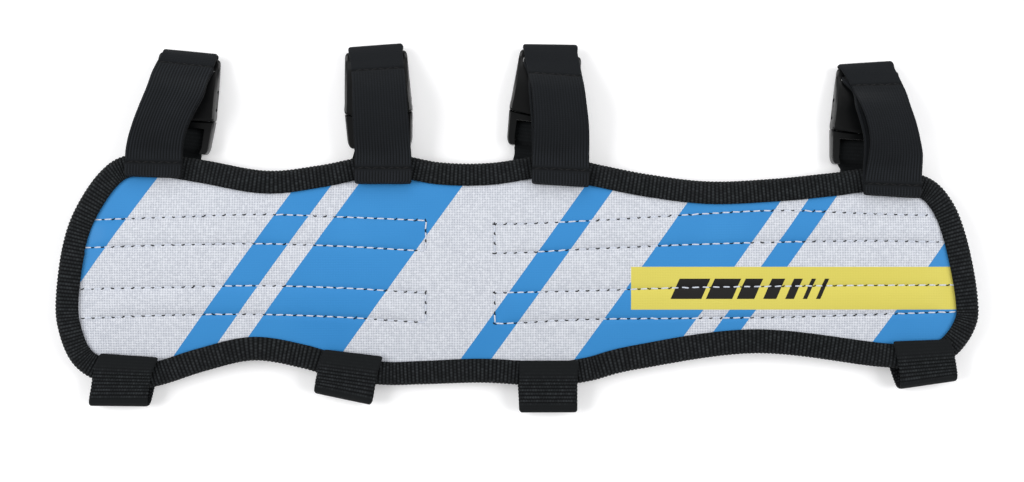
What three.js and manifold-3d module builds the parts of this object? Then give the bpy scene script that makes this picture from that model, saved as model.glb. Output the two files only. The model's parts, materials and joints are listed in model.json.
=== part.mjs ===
// A long arm guard for archery, lying face up with its four straps fastened.
// A bowed cloth panel has a tape folded over its edge. Each strap is a doubled elastic
// band on the top edge, a side release buckle, and a tape that runs below the panel and
// folds up over the bottom edge. Sizes are millimetres, +Z is up, the floor is z = 0.
import * as THREE from 'three';
import { mergeVertices } from 'three/addons/utils/BufferGeometryUtils.js';
import Module from 'manifold-3d';

const wasm = await Module();
wasm.setup();

// Clearance between neighbouring pieces, and the distance at which points are one
const GAP = 0.3;
const WELD = 1e-4;

// Panel: thickness, height of its middle surface, and the puff of its sewn channels
const PANEL_THICKNESS = 2.4;
const EDGE_HEIGHT = 5.2;
const BOW = 6;
const BOW_HALF_SPAN = 42;
const END_DROOP = 1.5;
const DROOP_START = 120;
const DROOP_RUN = 45;
const CHANNEL_PUFF = 0.8;
const CHANNEL_FADE = 9;
const CHANNEL_END_LEFT = -154;
const CHANNEL_END_RIGHT = 153;

// Outer edge of the bound panel: the top edge from left to right, the bottom edge back
const TOP_EDGE = {
  x: [-161.6, -157.6, -149.4, -140.5, -127, -110.5, -89, -70, -47, -27, -9, 13, 30.5, 48, 69, 92, 112, 130,
    146.5, 155.1, 160.4],
  y: [8.3, 21.2, 34.6, 41, 41.6, 39.3, 35.7, 37.7, 41.8, 38.7, 38.5, 41.3, 37.7, 34.3, 31.8, 32.8, 34.8, 36.6,
    33.6, 25.7, 12.2],
};
const BOTTOM_EDGE = {
  x: [164.6, 163.9, 156.8, 146, 129, 85.5, 43.5, 26.5, 11.5, -12, -33.5, -47, -63, -76.5, -93.5, -110.5,
    -127.5, -140, -152.5, -159.6, -163.5, -164],
  y: [-9.8, -20.8, -31.1, -35.3, -34.7, -29.9, -35.7, -40, -41.8, -40.6, -41.2, -41.4, -39.4, -35.3, -32.5,
    -36.2, -41.6, -43.3, -38.8, -32.2, -20.8, -9.8],
};
const EDGE_SAMPLES = 120;

// Stitch rows of the channels: height of each row at stations along the panel
const LEFT_ROWS = {
  x: [-152, -120, -93, -60, -32],
  a: [17.8, 18.9, 19.8, 18.8, 17.6],
  b: [8, 9, 9.4, 8.4, 6.8],
  c: [-6.7, -6, -5.5, -6.4, -8],
  d: [-18.6, -17.1, -16.2, -17, -18.9],
};
const RIGHT_ROWS = {
  x: [-7.5, 25, 60, 95, 125, 153],
  a: [16.4, 17.5, 19.6, 21.2, 20.1, 19.3],
  b: [6, 7.5, 9, 10, 10.4, 10],
  c: [-8, -7.3, -6.2, -5.7, -5.4, -5.3],
  d: [-19, -17.5, -17.1, -16.7, -15.8, -14.2],
};
const GRID_COLUMN = 8;
const GRID_REACH_X = 168;
const GRID_REACH_Y = 52;

// Edge binding: one tape folded over the edge
const TAPE_WALL = 1;
const BINDING_WIDTH = 8;
const BINDING_ROUND = 2.5;
const BINDING_SHOULDER = 0.7;

// Elastic bands: two layers, sewn on the top edge and looped round the socket's bar
const ELASTIC_THICKNESS = 1.1;
const ELASTIC_LAYER_GAP = 0.25;
const ELASTIC_SLOT_WIDTH = 19.4;
const ELASTIC_LOOP_RADIUS = 2.3;
const ELASTIC_LOOP_ANGLES = [56, 25, -5, -35, -65, -95, -125, -155, -185];
// Rows of the band above the socket, and of the layer that comes up through its slot
const ELASTIC_APPROACH = { along: 15, height: 10.4, width: 19.2, open: 0.2 };
const ELASTIC_ARRIVAL = { along: 18, height: 8.45, drift: 0.33 };
const ELASTIC_RISE = [
  { along: 18.1, height: 5.2, drift: 0 },
  { along: 17.3, height: 6.6, drift: 0.25 },
];

// Web tapes: widths at the bottom fold and inside the pronged half
const WEB_THICKNESS = 1;
const WEB_WIDTH = 20;
const WEB_SLOT_WIDTH = 17.2;
const WEB_FLOOR = WEB_THICKNESS / 2;
const WEB_FOLD_ANGLES = [65, 40, 15, -10, -35, -60, -90];
const WEB_RUN_SHARES = [0.12, 0.5, 0.85];
// Rows of the tape at the pronged half: along the buckle's axis, and the height
const WEB_ARRIVAL = -26;
const WEB_NARROWS = -18;
const WEB_LOOP = {
  along: [-20, -14, -9, -5.6, -4.5, -4, -4.5, -5.6, -8, -10.2, -11.2, -12.1, -13, -15, -24],
  height: [WEB_FLOOR, WEB_FLOOR, WEB_FLOOR, WEB_FLOOR, 1, 2.1, 3.2, 3.7, 3.7, 3.65, 3.2, 2.35, 1.9, 1.8, 1.8],
};

// Buckle, measured along its axis from the socket's mouth
const MOUTH_HALF_WIDTH = 12.1;
const MOUTH_SAG = 1;
const MOUTH_SAG_FADE = 8;
const SOCKET_LENGTH = 22.1;
const SOCKET_END_HALF_WIDTH = 11.1;
const SOCKET_MIDDLE = 3.8;
const SOCKET_CORNERS = 16;
const SOCKET_SQUARENESS = 0.42;
const SOCKET_SECTIONS = [
  { along: 0, share: 0.95, half: 3.4 },
  { along: 0.9, share: 1, half: 3.8 },
  { along: 9, share: 1, half: 3.7 },
  { along: 13, share: 1, half: 3 },
  { along: 16.6, share: 1, half: 2.2 },
  { along: 19.8, share: 1, half: 0.85 },
  { along: 20.9, share: 0.99, half: 1.1 },
  { along: 21.8, share: 0.96, half: 0.8 },
  { along: SOCKET_LENGTH, share: 0.92, half: 0.4 },
];
const SOCKET_WALL = 1.5;
const CAVITY_DEPTH = 13.5;
const CAVITY_HALF_HEIGHT = 2.4;
const SLOT_START = 16.6;
const SLOT_HALF_WIDTH = 10;
const SOCKET_BAR_HALF = 1.15;
const WINDOW_START = 3.5;
const WINDOW_END = 11.2;
const WINDOW_HALF_HEIGHT = 1.9;
const PLUG_LENGTH = 11.4;
const PLUG_END_HALF_WIDTH = 11;
const PLUG_BOTTOM = 0.3;
const PLUG_TOP = 6;
const PLUG_ROUND = 0.6;
const RAIL_INNER = 8.9;
const CROSSBAR_END = 3.2;
const CROSSBAR_INSET = 0.1;
const CROSSBAR_SHARES = [-1, -0.6, -0.2, 0.2, 0.6, 1];
const PLUG_BAR = { start: 5.5, end: 10.4, bottom: 1.3, top: 2.9, half: RAIL_INNER + 1 };
const RAIL_TIP = { back: 1.4, inset: 0.8 };
const PRONG_HALF_HEIGHT = 1.6;
const PRONG_ROUND = 0.4;
const PRONG_ROOT = -GAP - MOUTH_SAG - 1;
const GUIDE_OUTLINE = {
  across: [2.6, 2.2, 1.4, -1.4, -2.2, -2.6],
  along: [PRONG_ROOT, 11.5, 12.6, 12.6, 11.5, PRONG_ROOT],
};
const PRONG_OUTLINE = {
  across: [7.2, 9.6, 9.6, 11.8, 11.6, 10, 8.4, 7.2],
  along: [PRONG_ROOT, PRONG_ROOT, 6.6, 7.8, 9.2, 11.6, 12.2, 11],
};

// Where each strap goes. Buckle: the mouth's centre and the axis' lean to the right.
// Elastic: rows from the free end of the hem to the buckle (centre, height of the front
// layer, turn and roll of the width in degrees, width, gap between the layers).
// Hem rows have no height, because they lie on the binding. Drift is how far the band
// sits beside the buckle's axis. Loop: how far the band's fold stands off the bar, and how
// far it is turned against it. Web: rows of the sewn end, then the fold and its reach.
const STRAPS = [
  {
    buckle: { x: -120, y: 54.9, lean: 8 },
    elastic: [
      { x: -129, y: 33, turn: 0, roll: 0, width: 19.9, open: 0 },
      { x: -129, y: 38.5, turn: 0, roll: 0, width: 19.9, open: 0 },
      { x: -128.8, y: 42.5, z: 11, turn: -1, roll: 1, width: 19.8, open: 0 },
      { x: -128, y: 46, z: 12.6, turn: -2, roll: 3, width: 19.7, open: 0.2 },
      { x: -126.2, y: 51, z: 14.8, turn: -4, roll: 5, width: 19.5, open: 0.5 },
      { x: -123.4, y: 57, z: 16, turn: -6, roll: 6, width: 19.3, open: 0.5 },
      { x: -120.8, y: 63, z: 15.3, turn: -8, roll: 4, width: 19, open: 0.3 },
    ],
    drift: -1.2,
    loop: { slack: 0, turn: 2.5 },
    web: [
      { x: -137.5, y: -30.9, turn: -4 },
      { x: -140.2, y: -36.8, turn: -2 },
      { x: -141.6, y: -42.8, turn: 0 },
    ],
    fold: { reach: 5.9, aim: -90, turn: -2 },
  },
  {
    buckle: { x: -49.3, y: 56.3, lean: -2.6 },
    elastic: [
      { x: -47.2, y: 31, turn: 0, roll: 0, width: 19.9, open: 0 },
      { x: -47.2, y: 36, turn: 0, roll: 0, width: 19.9, open: 0 },
      { x: -47.2, y: 41.5, z: 10.9, turn: 0, roll: 0, width: 19.8, open: 0 },
      { x: -47.4, y: 46, z: 12.4, turn: 0, roll: -1, width: 19.7, open: 0.1 },
      { x: -47.6, y: 51, z: 14.1, turn: 1, roll: -2, width: 19.5, open: 0.3 },
      { x: -47.9, y: 57, z: 15.2, turn: 2, roll: -2, width: 19.3, open: 0.3 },
      { x: -48.3, y: 63.5, z: 14.7, turn: 2.6, roll: -1, width: 19, open: 0.2 },
    ],
    drift: 0.9,
    loop: { slack: 0.3, turn: 1.7 },
    web: [
      { x: -57.9, y: -29.9, turn: -6 },
      { x: -59.8, y: -35.8, turn: -8 },
      { x: -61.2, y: -41.1, turn: -10 },
    ],
    fold: { reach: 4.9, aim: -100, turn: -12 },
  },
  {
    buckle: { x: 9.6, y: 55.9, lean: 7.8 },
    elastic: [
      { x: 15.6, y: 30.5, turn: 0, roll: 0, width: 19.9, open: 0 },
      { x: 15.7, y: 36, turn: 0, roll: 0, width: 19.9, open: 0 },
      { x: 15.8, y: 41.5, z: 10.9, turn: 0, roll: -1, width: 19.8, open: 0 },
      { x: 15.9, y: 46, z: 12.5, turn: -1, roll: -3, width: 19.7, open: 0.2 },
      { x: 15.9, y: 51.5, z: 14.4, turn: -2, roll: -5, width: 19.5, open: 0.4 },
      { x: 15.6, y: 58, z: 15.3, turn: -4, roll: -5, width: 19.3, open: 0.4 },
      { x: 14.9, y: 64.5, z: 14.7, turn: -6, roll: -3, width: 19, open: 0.2 },
    ],
    drift: 1.9,
    loop: { slack: 1.5, turn: 7 },
    web: [
      { x: 11.6, y: -32.7, turn: 0 },
      { x: 11.6, y: -37.3, turn: 0 },
      { x: 11.6, y: -42.1, turn: 0 },
    ],
    fold: { reach: 8.7, aim: -90, turn: 0 },
  },
  {
    buckle: { x: 125.2, y: 49.8, lean: 3.2 },
    elastic: [
      { x: 133.5, y: 26.5, turn: 0, roll: 0, width: 19.9, open: 0 },
      { x: 133.8, y: 31, turn: 0, roll: -1, width: 19.9, open: 0 },
      { x: 134.5, y: 36.5, z: 11.6, turn: 0, roll: -4, width: 19.8, open: 0.1 },
      { x: 134.7, y: 41, z: 13, turn: 0, roll: -8, width: 19.6, open: 0.3 },
      { x: 134, y: 46.5, z: 15, turn: 0, roll: -11, width: 19.4, open: 0.8 },
      { x: 132.2, y: 52.5, z: 16.2, turn: 0, roll: -11, width: 19.2, open: 1.4 },
      { x: 129.8, y: 58.5, z: 15.4, turn: -1, roll: -7, width: 19, open: 1.2 },
    ],
    drift: 1.4,
    loop: { slack: 0.9, turn: 7 },
    web: [
      { x: 144, y: -25.3, turn: 2 },
      { x: 145.8, y: -30.8, turn: 4 },
      { x: 147, y: -36.3, turn: 6 },
    ],
    fold: { reach: 4.6, aim: -82, turn: 8 },
  },
];

// Colours and finishes of the pieces
const FINISH = {
  panel: { color: 0x4a93d4, roughness: 0.6, metalness: 0 },
  tape: { color: 0x232427, roughness: 0.85, metalness: 0 },
  elastic: { color: 0x2a2b2e, roughness: 0.8, metalness: 0 },
  plastic: { color: 0x1d1e20, roughness: 0.45, metalness: 0 },
};

const radians = THREE.MathUtils.degToRad;

// Piecewise linear reading of one column of a table at a station x
function readRow(table, column, x) {
  const xs = table.x;
  const values = table[column];
  const last = xs.length - 1;
  if (x <= xs[0]) {
    return values[0];
  }
  if (x >= xs[last]) {
    return values[last];
  }
  const i = xs.findIndex((station) => station > x) - 1;
  const share = (x - xs[i]) / (xs[i + 1] - xs[i]);
  return values[i] + share * (values[i + 1] - values[i]);
}

// Height of the panel's middle surface: a shallow arch across, with drooping ends
function middleHeight(x, y) {
  const beyond = Math.max(Math.abs(x) - DROOP_START, 0) / DROOP_RUN;
  return EDGE_HEIGHT + BOW * (1 - (y / BOW_HALF_SPAN) ** 2) - END_DROOP * beyond ** 2;
}

// Height of the binding's upper face, which carries the sewn ends of the straps
function bindingTop(x, y) {
  return middleHeight(x, y) + PANEL_THICKNESS / 2 + GAP + TAPE_WALL;
}

// Stitch row heights at x, from the table of the nearer half of the panel
function stitchRows(x) {
  const seam = (LEFT_ROWS.x.at(-1) + RIGHT_ROWS.x[0]) / 2;
  const table = x < seam ? LEFT_ROWS : RIGHT_ROWS;
  return {
    a: readRow(table, 'a', x),
    b: readRow(table, 'b', x),
    c: readRow(table, 'c', x),
    d: readRow(table, 'd', x),
  };
}

// How much of the puff a channel keeps at x: none between the halves and at the ends
function puffShare(x) {
  const left = Math.min(x - CHANNEL_END_LEFT, LEFT_ROWS.x.at(-1) - x);
  const right = Math.min(x - RIGHT_ROWS.x[0], CHANNEL_END_RIGHT - x);
  return THREE.MathUtils.clamp(Math.max(left, right) / CHANNEL_FADE, 0, 1);
}

// Points of the closed outer edge, evenly spaced, with their inward directions
function sampleEdge(count) {
  const xs = [...TOP_EDGE.x, ...BOTTOM_EDGE.x];
  const ys = [...TOP_EDGE.y, ...BOTTOM_EDGE.y];
  const points = xs.map((x, i) => new THREE.Vector3(x, ys[i], 0));
  const curve = new THREE.CatmullRomCurve3(points, true, 'catmullrom', 0.5);
  const spaced = curve.getSpacedPoints(count).slice(0, count);
  return spaced.map((point, i) => {
    const before = spaced[(i + count - 1) % count];
    const after = spaced[(i + 1) % count];
    const along = after.clone().sub(before).normalize();
    return { point, inward: new THREE.Vector3(along.y, -along.x, 0) };
  });
}

// Signed volume of an indexed geometry, negative when its faces point inwards
function signedVolume(positions, index) {
  let volume = 0;
  const corner = [new THREE.Vector3(), new THREE.Vector3(), new THREE.Vector3()];
  for (let i = 0; i < index.length; i += 3) {
    corner.forEach((v, k) => v.fromArray(positions, index[i + k] * 3));
    volume += corner[0].dot(corner[1].clone().cross(corner[2])) / 6;
  }
  return volume;
}

// Closed geometry from rings of points, joined side by side. A loft that isn't closed up
// is capped by strips between the first half of its ring and the second.
function loft(rings, closed) {
  const size = rings[0].length;
  const positions = rings.flat().flatMap((p) => [p.x, p.y, p.z]);
  const index = [];
  const steps = closed ? rings.length : rings.length - 1;
  for (let i = 0; i < steps; i += 1) {
    const here = i * size;
    const next = ((i + 1) % rings.length) * size;
    for (let k = 0; k < size; k += 1) {
      const side = (k + 1) % size;
      index.push(here + k, here + side, next + side, here + k, next + side, next + k);
    }
  }
  if (!closed) {
    const end = (rings.length - 1) * size;
    for (let k = 0; k < size / 2 - 1; k += 1) {
      const [a, b, c, d] = [k, k + 1, size - 2 - k, size - 1 - k];
      index.push(a, d, c, a, c, b);
      index.push(end + a, end + b, end + c, end + a, end + c, end + d);
    }
  }
  if (signedVolume(positions, index) < 0) {
    index.reverse();
  }
  const geometry = new THREE.BufferGeometry();
  geometry.setAttribute('position', new THREE.Float32BufferAttribute(positions, 3));
  geometry.setIndex(index);
  return geometry;
}

// Solid for joining and cutting, from a closed geometry
function solidOf(geometry) {
  const bare = geometry.clone();
  bare.deleteAttribute('normal');
  bare.deleteAttribute('uv');
  const welded = mergeVertices(bare, WELD);
  return new wasm.Manifold(new wasm.Mesh({
    numProp: 3,
    vertProperties: new Float32Array(welded.attributes.position.array),
    triVerts: new Uint32Array(welded.index.array),
  }));
}

// Geometry of a joined or cut solid
function geometryOf(solid) {
  const mesh = solid.getMesh();
  const geometry = new THREE.BufferGeometry();
  geometry.setAttribute('position', new THREE.Float32BufferAttribute(mesh.vertProperties, 3));
  geometry.setIndex(Array.from(mesh.triVerts));
  return geometry;
}

// Named mesh with its own material
function pieceMesh(name, geometry, finish) {
  const shaded = geometry.clone();
  shaded.computeVertexNormals();
  const mesh = new THREE.Mesh(shaded, new THREE.MeshStandardMaterial(finish));
  mesh.name = name;
  return mesh;
}

// Block between two corners
function block(low, high) {
  const size = new THREE.Vector3().subVectors(high, low);
  const geometry = new THREE.BoxGeometry(size.x, size.y, size.z);
  geometry.translate(low.x + size.x / 2, low.y + size.y / 2, low.z + size.z / 2);
  return solidOf(geometry);
}

// Panel slab on a grid whose rows follow the stitching, trimmed to the inset edge
function makePanel() {
  const columns = [];
  for (let x = -GRID_REACH_X; x <= GRID_REACH_X; x += GRID_COLUMN) {
    const { a, b, c, d } = stitchRows(x);
    const puff = CHANNEL_PUFF * puffShare(x);
    const low = (d - GRID_REACH_Y) / 2;
    const high = (a + GRID_REACH_Y) / 2;
    const rows = [
      [-GRID_REACH_Y, 0], [low, 0], [d, 0], [(c + d) / 2, puff], [c, 0],
      [(b + c) / 2, puff / 2], [b, 0], [(a + b) / 2, puff], [a, 0], [high, 0], [GRID_REACH_Y, 0],
    ];
    const top = rows.map(([y, rise]) => (
      new THREE.Vector3(x, y, middleHeight(x, y) + PANEL_THICKNESS / 2 + rise)));
    const bottom = rows.map(([y]) => (
      new THREE.Vector3(x, y, middleHeight(x, y) - PANEL_THICKNESS / 2)));
    columns.push([...top, ...bottom.reverse()]);
  }
  const inset = sampleEdge(EDGE_SAMPLES).map(({ point, inward }) => (
    point.clone().addScaledVector(inward, TAPE_WALL + GAP)));
  const outline = new THREE.Shape(inset.map((p) => new THREE.Vector2(p.x, p.y)));
  const trim = new THREE.ExtrudeGeometry(outline, { depth: 4 * GRID_REACH_Y, bevelEnabled: false });
  trim.translate(0, 0, -2 * GRID_REACH_Y);
  const panel = geometryOf(solidOf(loft(columns, false)).intersect(solidOf(trim)));
  return pieceMesh('panel', panel, FINISH.panel);
}

// Folded tape carried round the whole edge
function makeBinding() {
  const inner = PANEL_THICKNESS / 2 + GAP;
  const outer = inner + TAPE_WALL;
  const section = [
    [BINDING_WIDTH, outer], [BINDING_ROUND, outer], [BINDING_ROUND / 4, outer * BINDING_SHOULDER], [0, 0],
    [BINDING_ROUND / 4, -outer * BINDING_SHOULDER], [BINDING_ROUND, -outer], [BINDING_WIDTH, -outer],
    [BINDING_WIDTH, -inner], [TAPE_WALL, -inner], [TAPE_WALL, inner], [BINDING_WIDTH, inner],
  ];
  const rings = sampleEdge(EDGE_SAMPLES).map(({ point, inward }) => (
    section.map(([depth, rise]) => {
      const p = point.clone().addScaledVector(inward, depth);
      p.z = middleHeight(p.x, p.y) + rise;
      return p;
    })));
  return pieceMesh('edge_binding', loft(rings, true), FINISH.tape);
}

// Unit vector along a ribbon's width, from its turn in plan and its roll
function widthVector(turn, roll) {
  const level = Math.cos(radians(roll));
  return new THREE.Vector3(
    Math.cos(radians(turn)) * level, Math.sin(radians(turn)) * level, Math.sin(radians(roll)));
}

// Stations with the ribbon's normal, which is square to its width and its way
function withNormals(stations) {
  return stations.map((station, i) => {
    const before = stations[Math.max(i - 1, 0)].centre;
    const after = stations[Math.min(i + 1, stations.length - 1)].centre;
    const way = after.clone().sub(before).normalize();
    return { ...station, normal: station.across.clone().cross(way).normalize() };
  });
}

// Flat ribbon of one thickness through a list of stations
function ribbon(stations, thickness) {
  const rings = withNormals(stations).map(({ centre, across, normal, width }) => (
    [[-1, -1], [1, -1], [1, 1], [-1, 1]].map(([side, face]) => centre.clone()
      .addScaledVector(across, side * width / 2)
      .addScaledVector(normal, face * thickness / 2))));
  return loft(rings, false);
}

// Point and width of a ribbon in a buckle's own frame: along its axis, height, sideways
function buckleStation(buckle, along, height, width, drift = 0) {
  const lean = radians(buckle.lean);
  const centre = new THREE.Vector3(
    buckle.x + along * Math.sin(lean) + drift * Math.cos(lean),
    buckle.y + along * Math.cos(lean) - drift * Math.sin(lean),
    height);
  return { centre, across: widthVector(-buckle.lean, 0), width };
}

// Station sewn on the binding: both its edges follow the binding's upper face
function sewnStation(row, lift, width) {
  const way = widthVector(row.turn, 0);
  const reach = way.clone().multiplyScalar(width / 2);
  const left = bindingTop(row.x - reach.x, row.y - reach.y);
  const right = bindingTop(row.x + reach.x, row.y + reach.y);
  const level = Math.max((left + right) / 2, bindingTop(row.x, row.y));
  way.z = (right - left) / width;
  return { centre: new THREE.Vector3(row.x, row.y, level + lift), across: way.normalize(), width };
}

// Doubled elastic band: front layer to the socket, round its bar, and back below
function makeElastic(strap, number) {
  const { buckle, elastic, drift, loop: fold } = strap;
  const step = ELASTIC_THICKNESS + ELASTIC_LAYER_GAP;
  const hemFront = GAP + step + ELASTIC_THICKNESS / 2;
  const front = elastic.map((row) => {
    const free = { centre: new THREE.Vector3(row.x, row.y, row.z), across: widthVector(row.turn, row.roll) };
    const station = row.z === undefined ? sewnStation(row, hemFront, row.width) : free;
    return { ...station, width: row.width, open: row.open };
  });
  const near = ELASTIC_APPROACH;
  front.push({ ...buckleStation(buckle, near.along, near.height, near.width, drift), open: near.open });
  const end = ELASTIC_ARRIVAL;
  const last = buckleStation(buckle, end.along, end.height, ELASTIC_SLOT_WIDTH, drift * end.drift);
  const barCentre = SOCKET_LENGTH - SOCKET_BAR_HALF;
  const loop = ELASTIC_LOOP_ANGLES.map((angle) => {
    const outer = Math.max(Math.cos(radians(angle)), 0);
    const along = barCentre + ELASTIC_LOOP_RADIUS * Math.cos(radians(angle)) + fold.slack * outer;
    const height = SOCKET_MIDDLE + ELASTIC_LOOP_RADIUS * Math.sin(radians(angle));
    const across = widthVector(fold.turn * outer - buckle.lean, 0);
    return { ...buckleStation(buckle, along, height, ELASTIC_SLOT_WIDTH), across };
  });
  const rise = ELASTIC_RISE.map((row) => (
    buckleStation(buckle, row.along, row.height, ELASTIC_SLOT_WIDTH, drift * row.drift)));
  const back = withNormals([...front, last]).slice(0, -1).map((station) => ({
    ...station,
    centre: station.centre.clone().addScaledVector(station.normal, -step - station.open),
  }));
  const path = [...front, last, ...loop, ...rise, ...back.reverse()];
  return pieceMesh(`elastic_strap_${number}`, ribbon(path, ELASTIC_THICKNESS), FINISH.elastic);
}

// Web tape: sewn end, fold round the bottom edge, run on the floor, loop on the plug's bar
function makeWeb(strap, number) {
  const { buckle, web, fold } = strap;
  const lift = GAP + WEB_THICKNESS / 2;
  const sewn = web.map((row) => sewnStation(row, lift, WEB_WIDTH));
  const edge = sewn.at(-1).centre;
  const middle = (edge.z + WEB_FLOOR) / 2;
  const aim = new THREE.Vector3(Math.cos(radians(fold.aim)), Math.sin(radians(fold.aim)), 0);
  const turned = WEB_FOLD_ANGLES.map((angle) => ({
    centre: new THREE.Vector3(edge.x, edge.y, middle + (edge.z - middle) * Math.sin(radians(angle)))
      .addScaledVector(aim, fold.reach * Math.cos(radians(angle))),
    across: widthVector(fold.turn, 0),
    width: WEB_WIDTH,
  }));
  const arrival = buckleStation(buckle, WEB_ARRIVAL, WEB_FLOOR, WEB_WIDTH);
  const run = arrival.centre.clone().sub(turned.at(-1).centre);
  const slant = THREE.MathUtils.radToDeg(Math.atan2(-run.x, run.y));
  const below = WEB_RUN_SHARES.map((share) => ({
    centre: turned.at(-1).centre.clone().addScaledVector(run, share),
    across: widthVector(slant, 0),
    width: WEB_WIDTH,
  }));
  const loop = WEB_LOOP.along.map((along, i) => {
    const width = along < WEB_NARROWS ? WEB_WIDTH : WEB_SLOT_WIDTH;
    return buckleStation(buckle, along, WEB_LOOP.height[i], width);
  });
  const path = [...sewn, ...turned, ...below, arrival, ...loop];
  return pieceMesh(`web_strap_${number}`, ribbon(path, WEB_THICKNESS), FINISH.tape);
}

// Group that stands at a buckle's mouth, with +Y along its axis
function buckleGroup(buckle) {
  const group = new THREE.Group();
  group.position.set(buckle.x, buckle.y, 0);
  group.rotation.z = -radians(buckle.lean);
  return group;
}

// How far the curved mouth bulges towards the pronged half at a place across
function mouthSag(across) {
  return MOUTH_SAG * (1 - (across / MOUTH_HALF_WIDTH) ** 2);
}

// Socket half: a rounded shell that narrows and thins to its bar
function makeSocket(number) {
  const squared = (value) => Math.sign(value) * Math.abs(value) ** SOCKET_SQUARENESS;
  const rings = SOCKET_SECTIONS.map(({ along, share, half }) => {
    const taper = along / SOCKET_LENGTH;
    const wide = THREE.MathUtils.lerp(MOUTH_HALF_WIDTH, SOCKET_END_HALF_WIDTH, taper) * share;
    return Array.from({ length: SOCKET_CORNERS }, (_, k) => {
      const angle = ((k + 0.5) / SOCKET_CORNERS) * 2 * Math.PI;
      const across = wide * squared(Math.cos(angle));
      const bulge = mouthSag(across) * Math.max(1 - along / MOUTH_SAG_FADE, 0);
      return new THREE.Vector3(across, along - bulge, SOCKET_MIDDLE + half * squared(Math.sin(angle)));
    });
  });
  const inside = MOUTH_HALF_WIDTH - SOCKET_WALL;
  const slotEnd = SOCKET_LENGTH - 2 * SOCKET_BAR_HALF;
  const cuts = [
    block(
      new THREE.Vector3(-inside, -SOCKET_LENGTH, SOCKET_MIDDLE - CAVITY_HALF_HEIGHT),
      new THREE.Vector3(inside, CAVITY_DEPTH, SOCKET_MIDDLE + CAVITY_HALF_HEIGHT)),
    block(
      new THREE.Vector3(-SOCKET_LENGTH, WINDOW_START, SOCKET_MIDDLE - WINDOW_HALF_HEIGHT),
      new THREE.Vector3(SOCKET_LENGTH, WINDOW_END, SOCKET_MIDDLE + WINDOW_HALF_HEIGHT)),
    block(
      new THREE.Vector3(-SLOT_HALF_WIDTH, SLOT_START, -SOCKET_MIDDLE),
      new THREE.Vector3(SLOT_HALF_WIDTH, slotEnd, 3 * SOCKET_MIDDLE)),
  ];
  const solid = cuts.reduce((whole, cut) => whole.subtract(cut), solidOf(loft(rings, false)));
  return pieceMesh(`buckle_female_${number}`, geometryOf(solid), FINISH.plastic);
}

// Plate from a plan outline, with rounded upper and lower edges
function roundedPlate(points, bottom, top, round) {
  const shape = new THREE.Shape(points.map(([x, y]) => new THREE.Vector2(x, y)));
  const geometry = new THREE.ExtrudeGeometry(shape, {
    depth: top - bottom - 2 * round,
    bevelThickness: round,
    bevelSize: round,
    bevelOffset: -round,
    bevelSegments: 2,
  });
  geometry.translate(0, 0, bottom + round);
  return solidOf(geometry);
}

// Pronged half: crossbar and rails in one plate, a bar for the tape, a guide and two prongs
function makePlug(number) {
  const crossbar = CROSSBAR_SHARES.map((share) => {
    const across = share * (MOUTH_HALF_WIDTH - CROSSBAR_INSET);
    return [across, -GAP - mouthSag(across)];
  });
  const tip = PLUG_END_HALF_WIDTH;
  const right = [
    [tip, -PLUG_LENGTH + RAIL_TIP.back], [tip - RAIL_TIP.inset, -PLUG_LENGTH],
    [RAIL_INNER, -PLUG_LENGTH], [RAIL_INNER, -CROSSBAR_END],
  ];
  const left = right.map(([x, y]) => [-x, y]).reverse();
  const frame = roundedPlate([...crossbar, ...right, ...left], PLUG_BOTTOM, PLUG_TOP, PLUG_ROUND);
  const bar = block(
    new THREE.Vector3(-PLUG_BAR.half, -PLUG_BAR.end, PLUG_BAR.bottom),
    new THREE.Vector3(PLUG_BAR.half, -PLUG_BAR.start, PLUG_BAR.top));
  const low = SOCKET_MIDDLE - PRONG_HALF_HEIGHT;
  const high = SOCKET_MIDDLE + PRONG_HALF_HEIGHT;
  const finger = ({ across, along }, side) => (
    roundedPlate(across.map((x, i) => [side * x, along[i]]), low, high, PRONG_ROUND));
  const guide = finger(GUIDE_OUTLINE, 1);
  const prong = finger(PRONG_OUTLINE, 1);
  const twin = finger(PRONG_OUTLINE, -1);
  const solid = [bar, guide, prong, twin].reduce((whole, piece) => whole.add(piece), frame);
  return pieceMesh(`buckle_male_${number}`, geometryOf(solid), FINISH.plastic);
}

const guard = new THREE.Group();
guard.add(makePanel(), makeBinding());
STRAPS.forEach((strap, i) => {
  const number = i + 1;
  const buckle = buckleGroup(strap.buckle);
  buckle.add(makeSocket(number), makePlug(number));
  guard.add(makeElastic(strap, number), buckle, makeWeb(strap, number));
});

// The origin is the middle of the guard's box, on the floor
const box = new THREE.Box3().setFromObject(guard, true);
const centre = box.getCenter(new THREE.Vector3());
guard.position.set(-centre.x, -centre.y, -box.min.z);

export default guard;
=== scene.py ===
"""Looks of a long arm guard for archery, lying face up with its four straps fastened.

A bowed cloth panel with a printed film is bound by a ribbed tape. Each strap is a doubled
elastic band, a side release buckle and a ribbed web tape that runs below the panel.
Lengths are metres. Shapes are worked out in the guard's own drawing frame, and the frame's
boxes say where that lies in the row frame.
"""

import json
import logging
import math
from dataclasses import dataclass, field
from enum import Enum
from typing import NamedTuple

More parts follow.
